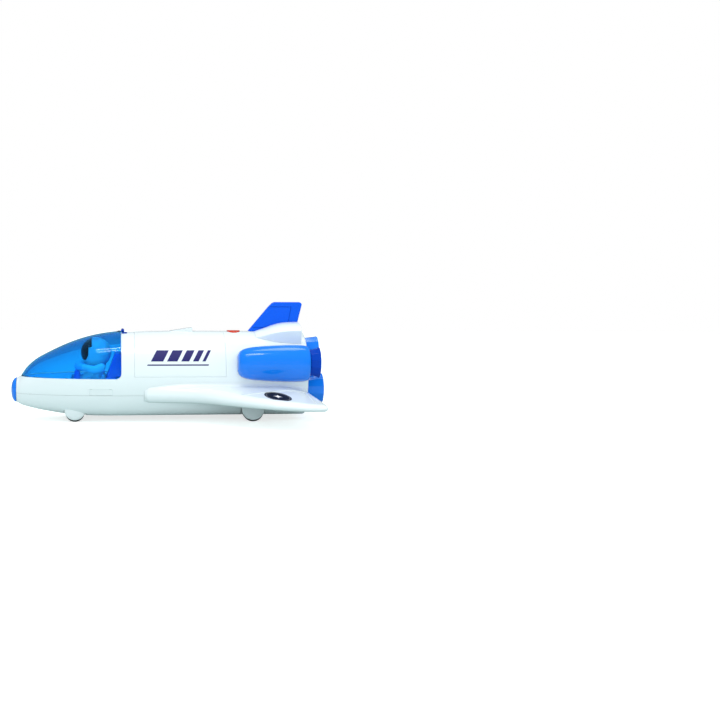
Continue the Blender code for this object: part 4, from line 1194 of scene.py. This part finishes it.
# Cockpit and figure


def make_cockpit():
    tub = hull_tube("cockpit_deck", -TRAY_SKIN, first=TUB_FRONT, last=COCKPIT_REAR - 2 * FIT)
    slice_off(tub, (0, 0, TUB_BOTTOM), (0, 0, -1))
    slice_off(tub, (0, 0, DECK), (0, 0, 1))
    carve(tub, box("seat_well", (WELL[0], -WELL_HALF, TUB_FLOOR), (WELL[1], WELL_HALF, HIGH)))
    bevelled(tub, width=0.8, segments=4)
    settle(tub, "cockpit", "root", ["cockpit_tub"])

    seat = side_prism("pilot_seat", SEAT_BACK, -SEAT_HALF, SEAT_HALF)
    merge(seat, side_prism("pan", SEAT_PAN, -PAN_HALF, PAN_HALF))
    bevelled(seat, width=1.1, segments=4)
    settle(seat, "seat", "root", ["seat"])

    yoke = side_prism("steering_yoke", YOKE, -YOKE_HALF, YOKE_HALF)
    carve(yoke, box("yoke_gap", (WELL[0], -YOKE_GAP_HALF, YOKE_BAR), (WELL[1], YOKE_GAP_HALF, HIGH)))
    bevelled(yoke, width=1.0, segments=4)
    settle(yoke, "seat", "root", ["control_yoke"])


def make_astronaut():
    helmet = globe("helmet_shell", HELMET_CENTRE, HELMET_RADIUS)
    carve(helmet, side_prism("visor_gap", VISOR, -WIDE, WIDE))
    slice_off(helmet, (0, 0, NECK), (0, 0, -1))
    bevelled(helmet, width=0.5, segments=3, angle=30)
    settle(helmet, "figure", "root", ["astronaut_helmet"])

    visor = globe("face_visor", HELMET_CENTRE, HELMET_RADIUS - VISOR_SUNK)
    region = [(x - VISOR_GAP, z + VISOR_GAP) for x, z in VISOR]
    share(visor, side_prism("visor_region", region, -WIDE, WIDE))
    bevelled(visor, width=0.4, segments=3, angle=30)
    settle(visor, "visor", "root", ["astronaut_visor"])

    rings = []
    for height, middle, depth, width in finer(TORSO, parts=5):
        rings.append([at(middle + depth * math.cos(a), width * math.sin(a), height)
                      for a in (2 * math.pi * i / TORSO_SIDES for i in range(TORSO_SIDES))])
    torso = loft("suit_torso", rings)
    for side, _ in SIDES:
        for name, route in (("leg", LEG), ("boot", BOOT)):
            merge(torso, tube(name, [(x, side * y, z, r) for x, y, z, r in route]))
    merge(torso, box("chest_pack", *CHEST_PACK))
    bevelled(torso, width=0.4, segments=3, angle=50)
    settle(torso, "figure", "root", ["astronaut_torso"])

    collar = drum("neck_ring", COLLAR_CENTRE, COLLAR_RADIUS, COLLAR_TALL, "Z", sides=64)
    bevelled(collar, width=0.6, segments=4)
    settle(collar, "seat", "root")
    for side, tag in SIDES:
        arm = tube(f"suit_arm_{tag}", [(x, side * y, z, r) for x, y, z, r in ARM])
        settle(arm, "figure", "root", [f"astronaut_arm_{tag}"], angle=60)
        glove = tube(f"glove_{tag}", [(x, side * y, z, r) for x, y, z, r in GLOVE])
        settle(glove, "cockpit", "root", angle=60)


# Running gear


def make_running_gear():
    for name, (x, track, radius, width) in WHEELS.items():
        body = f"{name}_wheels"
        axle = drum(f"{name}_pin", (x, 0, radius), AXLE_RADIUS, 2 * (track - AXLE_INSET), sides=40)
        bevelled(axle, width=0.4, segments=3)
        settle(axle, "steel", body, [f"{name}_axle"])
        for side, tag in SIDES:
            middle = side * (track - width / 2)
            wheel = drum(f"{name}_tyre_{tag}", (x, middle, radius), radius, width, sides=96)
            dish = radius - RIM_WIDTH - DISH_SLOPE - HUB_RADIUS
            steps = ((RIM_WIDTH, 0.0), (DISH_SLOPE, -DISH_DEPTH), (dish, 0.0), (HUB_SLOPE, DISH_DEPTH))
            edit(wheel)
            pick("FACE", lambda px, py, pz, normal: abs(normal.y) > FACING)
            for inwards, rise in steps:
                bpy.ops.mesh.inset(thickness=inwards * MM, depth=rise * MM)
            done()
            carve(wheel, drum("bore", (x, middle, radius), AXLE_RADIUS + FIT, 2 * width, sides=40))
            bevelled(wheel, width=0.6, segments=4)
            settle(wheel, "rubber", body, [f"{name}_wheel_{tag}"])


# Stage, light and camera

# name: place, size, power, aimed at
LAMPS = {
    "overhead": ((0.27, 0.25, 1.1), (0.34, 0.40), 1.6, (0.05, 0, 0.05)),
    "front_tube": ((-0.13, -0.28, 1.1), (0.50, 0.045), 1.6, (-0.03, 0, 0.07)),
    "second_tube": ((-0.13, -0.41, 1.1), (0.50, 0.045), 1.6, (-0.03, 0, 0.07)),
    "front_panel": ((-0.10, -1.60, 0.35), (1.60, 0.60), 8.0, (0, 0, 0.06)),
}
MATT_LAMPS = ("front_panel",)  # lamps that no surface mirrors
SKY_TINT, SKY_STRENGTH = (0.96, 0.99, 1.0, 1), 0.88
SKY_IN_GLOSS = 0.25  # share of the sky that shows in reflections
SUN_STRENGTH, SUN_SPREAD = 0.7, math.radians(120)
FLOOR_SIZE, FLOOR_TONE, FLOOR_GLOW = 3.0, (0.52, 0.63, 0.61, 1), 0.70


def seen_ray(tree):
    """One for what the camera sees, straight or through the canopy."""
    path = node(tree, "ShaderNodeLightPath").outputs
    return maths(tree, "MAXIMUM", path["Is Camera Ray"], path["Is Transmission Ray"])


def make_stage():
    bpy.ops.object.select_all(action="DESELECT")
    bpy.ops.mesh.primitive_plane_add(size=FLOOR_SIZE, location=(0, 0, 0))
    floor = fresh("studio_floor")
    pale, tree, shader = new_finish("studio_floor")
    glow = maths(tree, "MULTIPLY", seen_ray(tree), FLOOR_GLOW)
    fill(shader, Base_Color=FLOOR_TONE, Roughness=0.8, Specular_IOR_Level=0.2,
         Emission_Color=(1, 1, 1, 1), Emission_Strength=glow)
    floor.data.materials.append(pale)


def make_lights():
    for name, (place, size, power, aim) in LAMPS.items():
        lamp = bpy.data.lights.new(name, "AREA")
        lamp.shape = "RECTANGLE"
        lamp.size, lamp.size_y = size
        lamp.energy = power
        obj = placed(name, lamp)
        obj.location = place
        obj.rotation_euler = (Vector(aim) - Vector(place)).to_track_quat("-Z", "Y").to_euler()
        obj.visible_glossy = name not in MATT_LAMPS
    sun = bpy.data.lights.new("soft_top", "SUN")
    sun.energy, sun.angle = SUN_STRENGTH, SUN_SPREAD
    placed("soft_top", sun).visible_glossy = False

    world = bpy.data.worlds.new("studio")
    world.use_nodes = True
    tree = world.node_tree
    mirrored_ray = node(tree, "ShaderNodeLightPath").outputs["Is Glossy Ray"]
    dimmed = maths(tree, "MULTIPLY", mirrored_ray, SKY_STRENGTH * (1 - SKY_IN_GLOSS))
    strength = maths(tree, "SUBTRACT", SKY_STRENGTH, dimmed)
    light = fill(tree.nodes["Background"], Color=SKY_TINT, Strength=strength)
    backdrop = node(tree, "ShaderNodeBackground", Color=(1.0, 1.0, 1.0, 1), Strength=1.0)
    mix = node(tree, "ShaderNodeMixShader", _0=seen_ray(tree), _1=light.outputs[0], _2=backdrop.outputs[0])
    fill(tree.nodes["World Output"], Surface=mix.outputs[0])
    bpy.context.scene.world = world
    bpy.context.scene.view_settings.view_transform = "Standard"


CAMERA_PLACE = (-0.054, -1.172, 0.1704)
CAMERA_YAW, CAMERA_PITCH, CAMERA_ROLL = 9.094, -5.144, 0.738
CAMERA_LENS, CAMERA_SENSOR, CAMERA_SHIFT, CAMERA_CLIP = 53.18, 36.0, 0.10, (0.05, 50.0)


def make_camera():
    camera = bpy.data.cameras.new("camera")
    camera.lens, camera.sensor_width = CAMERA_LENS, CAMERA_SENSOR
    camera.shift_x = CAMERA_SHIFT
    camera.clip_start, camera.clip_end = CAMERA_CLIP
    obj = placed("camera", camera)
    turn = (Matrix.Rotation(-math.radians(CAMERA_YAW), 4, "Z")
            @ Matrix.Rotation(math.radians(90 + CAMERA_PITCH), 4, "X")
            @ Matrix.Rotation(math.radians(CAMERA_ROLL), 4, "Z"))
    obj.matrix_world = Matrix.Translation(CAMERA_PLACE) @ turn
    bpy.context.scene.camera = obj


def main():
    make_upper_hull()
    make_lower_hull()
    make_covers()
    make_bulkhead()
    make_nose_cap()
    make_canopy()
    make_canopy_hinge()
    make_doors()
    make_bay()
    make_button()
    make_fin()
    make_fairings()
    make_pods()
    make_bells()
    make_wings()
    make_cockpit()
    make_astronaut()
    make_running_gear()
    make_stage()
    make_lights()
    make_camera()


main()
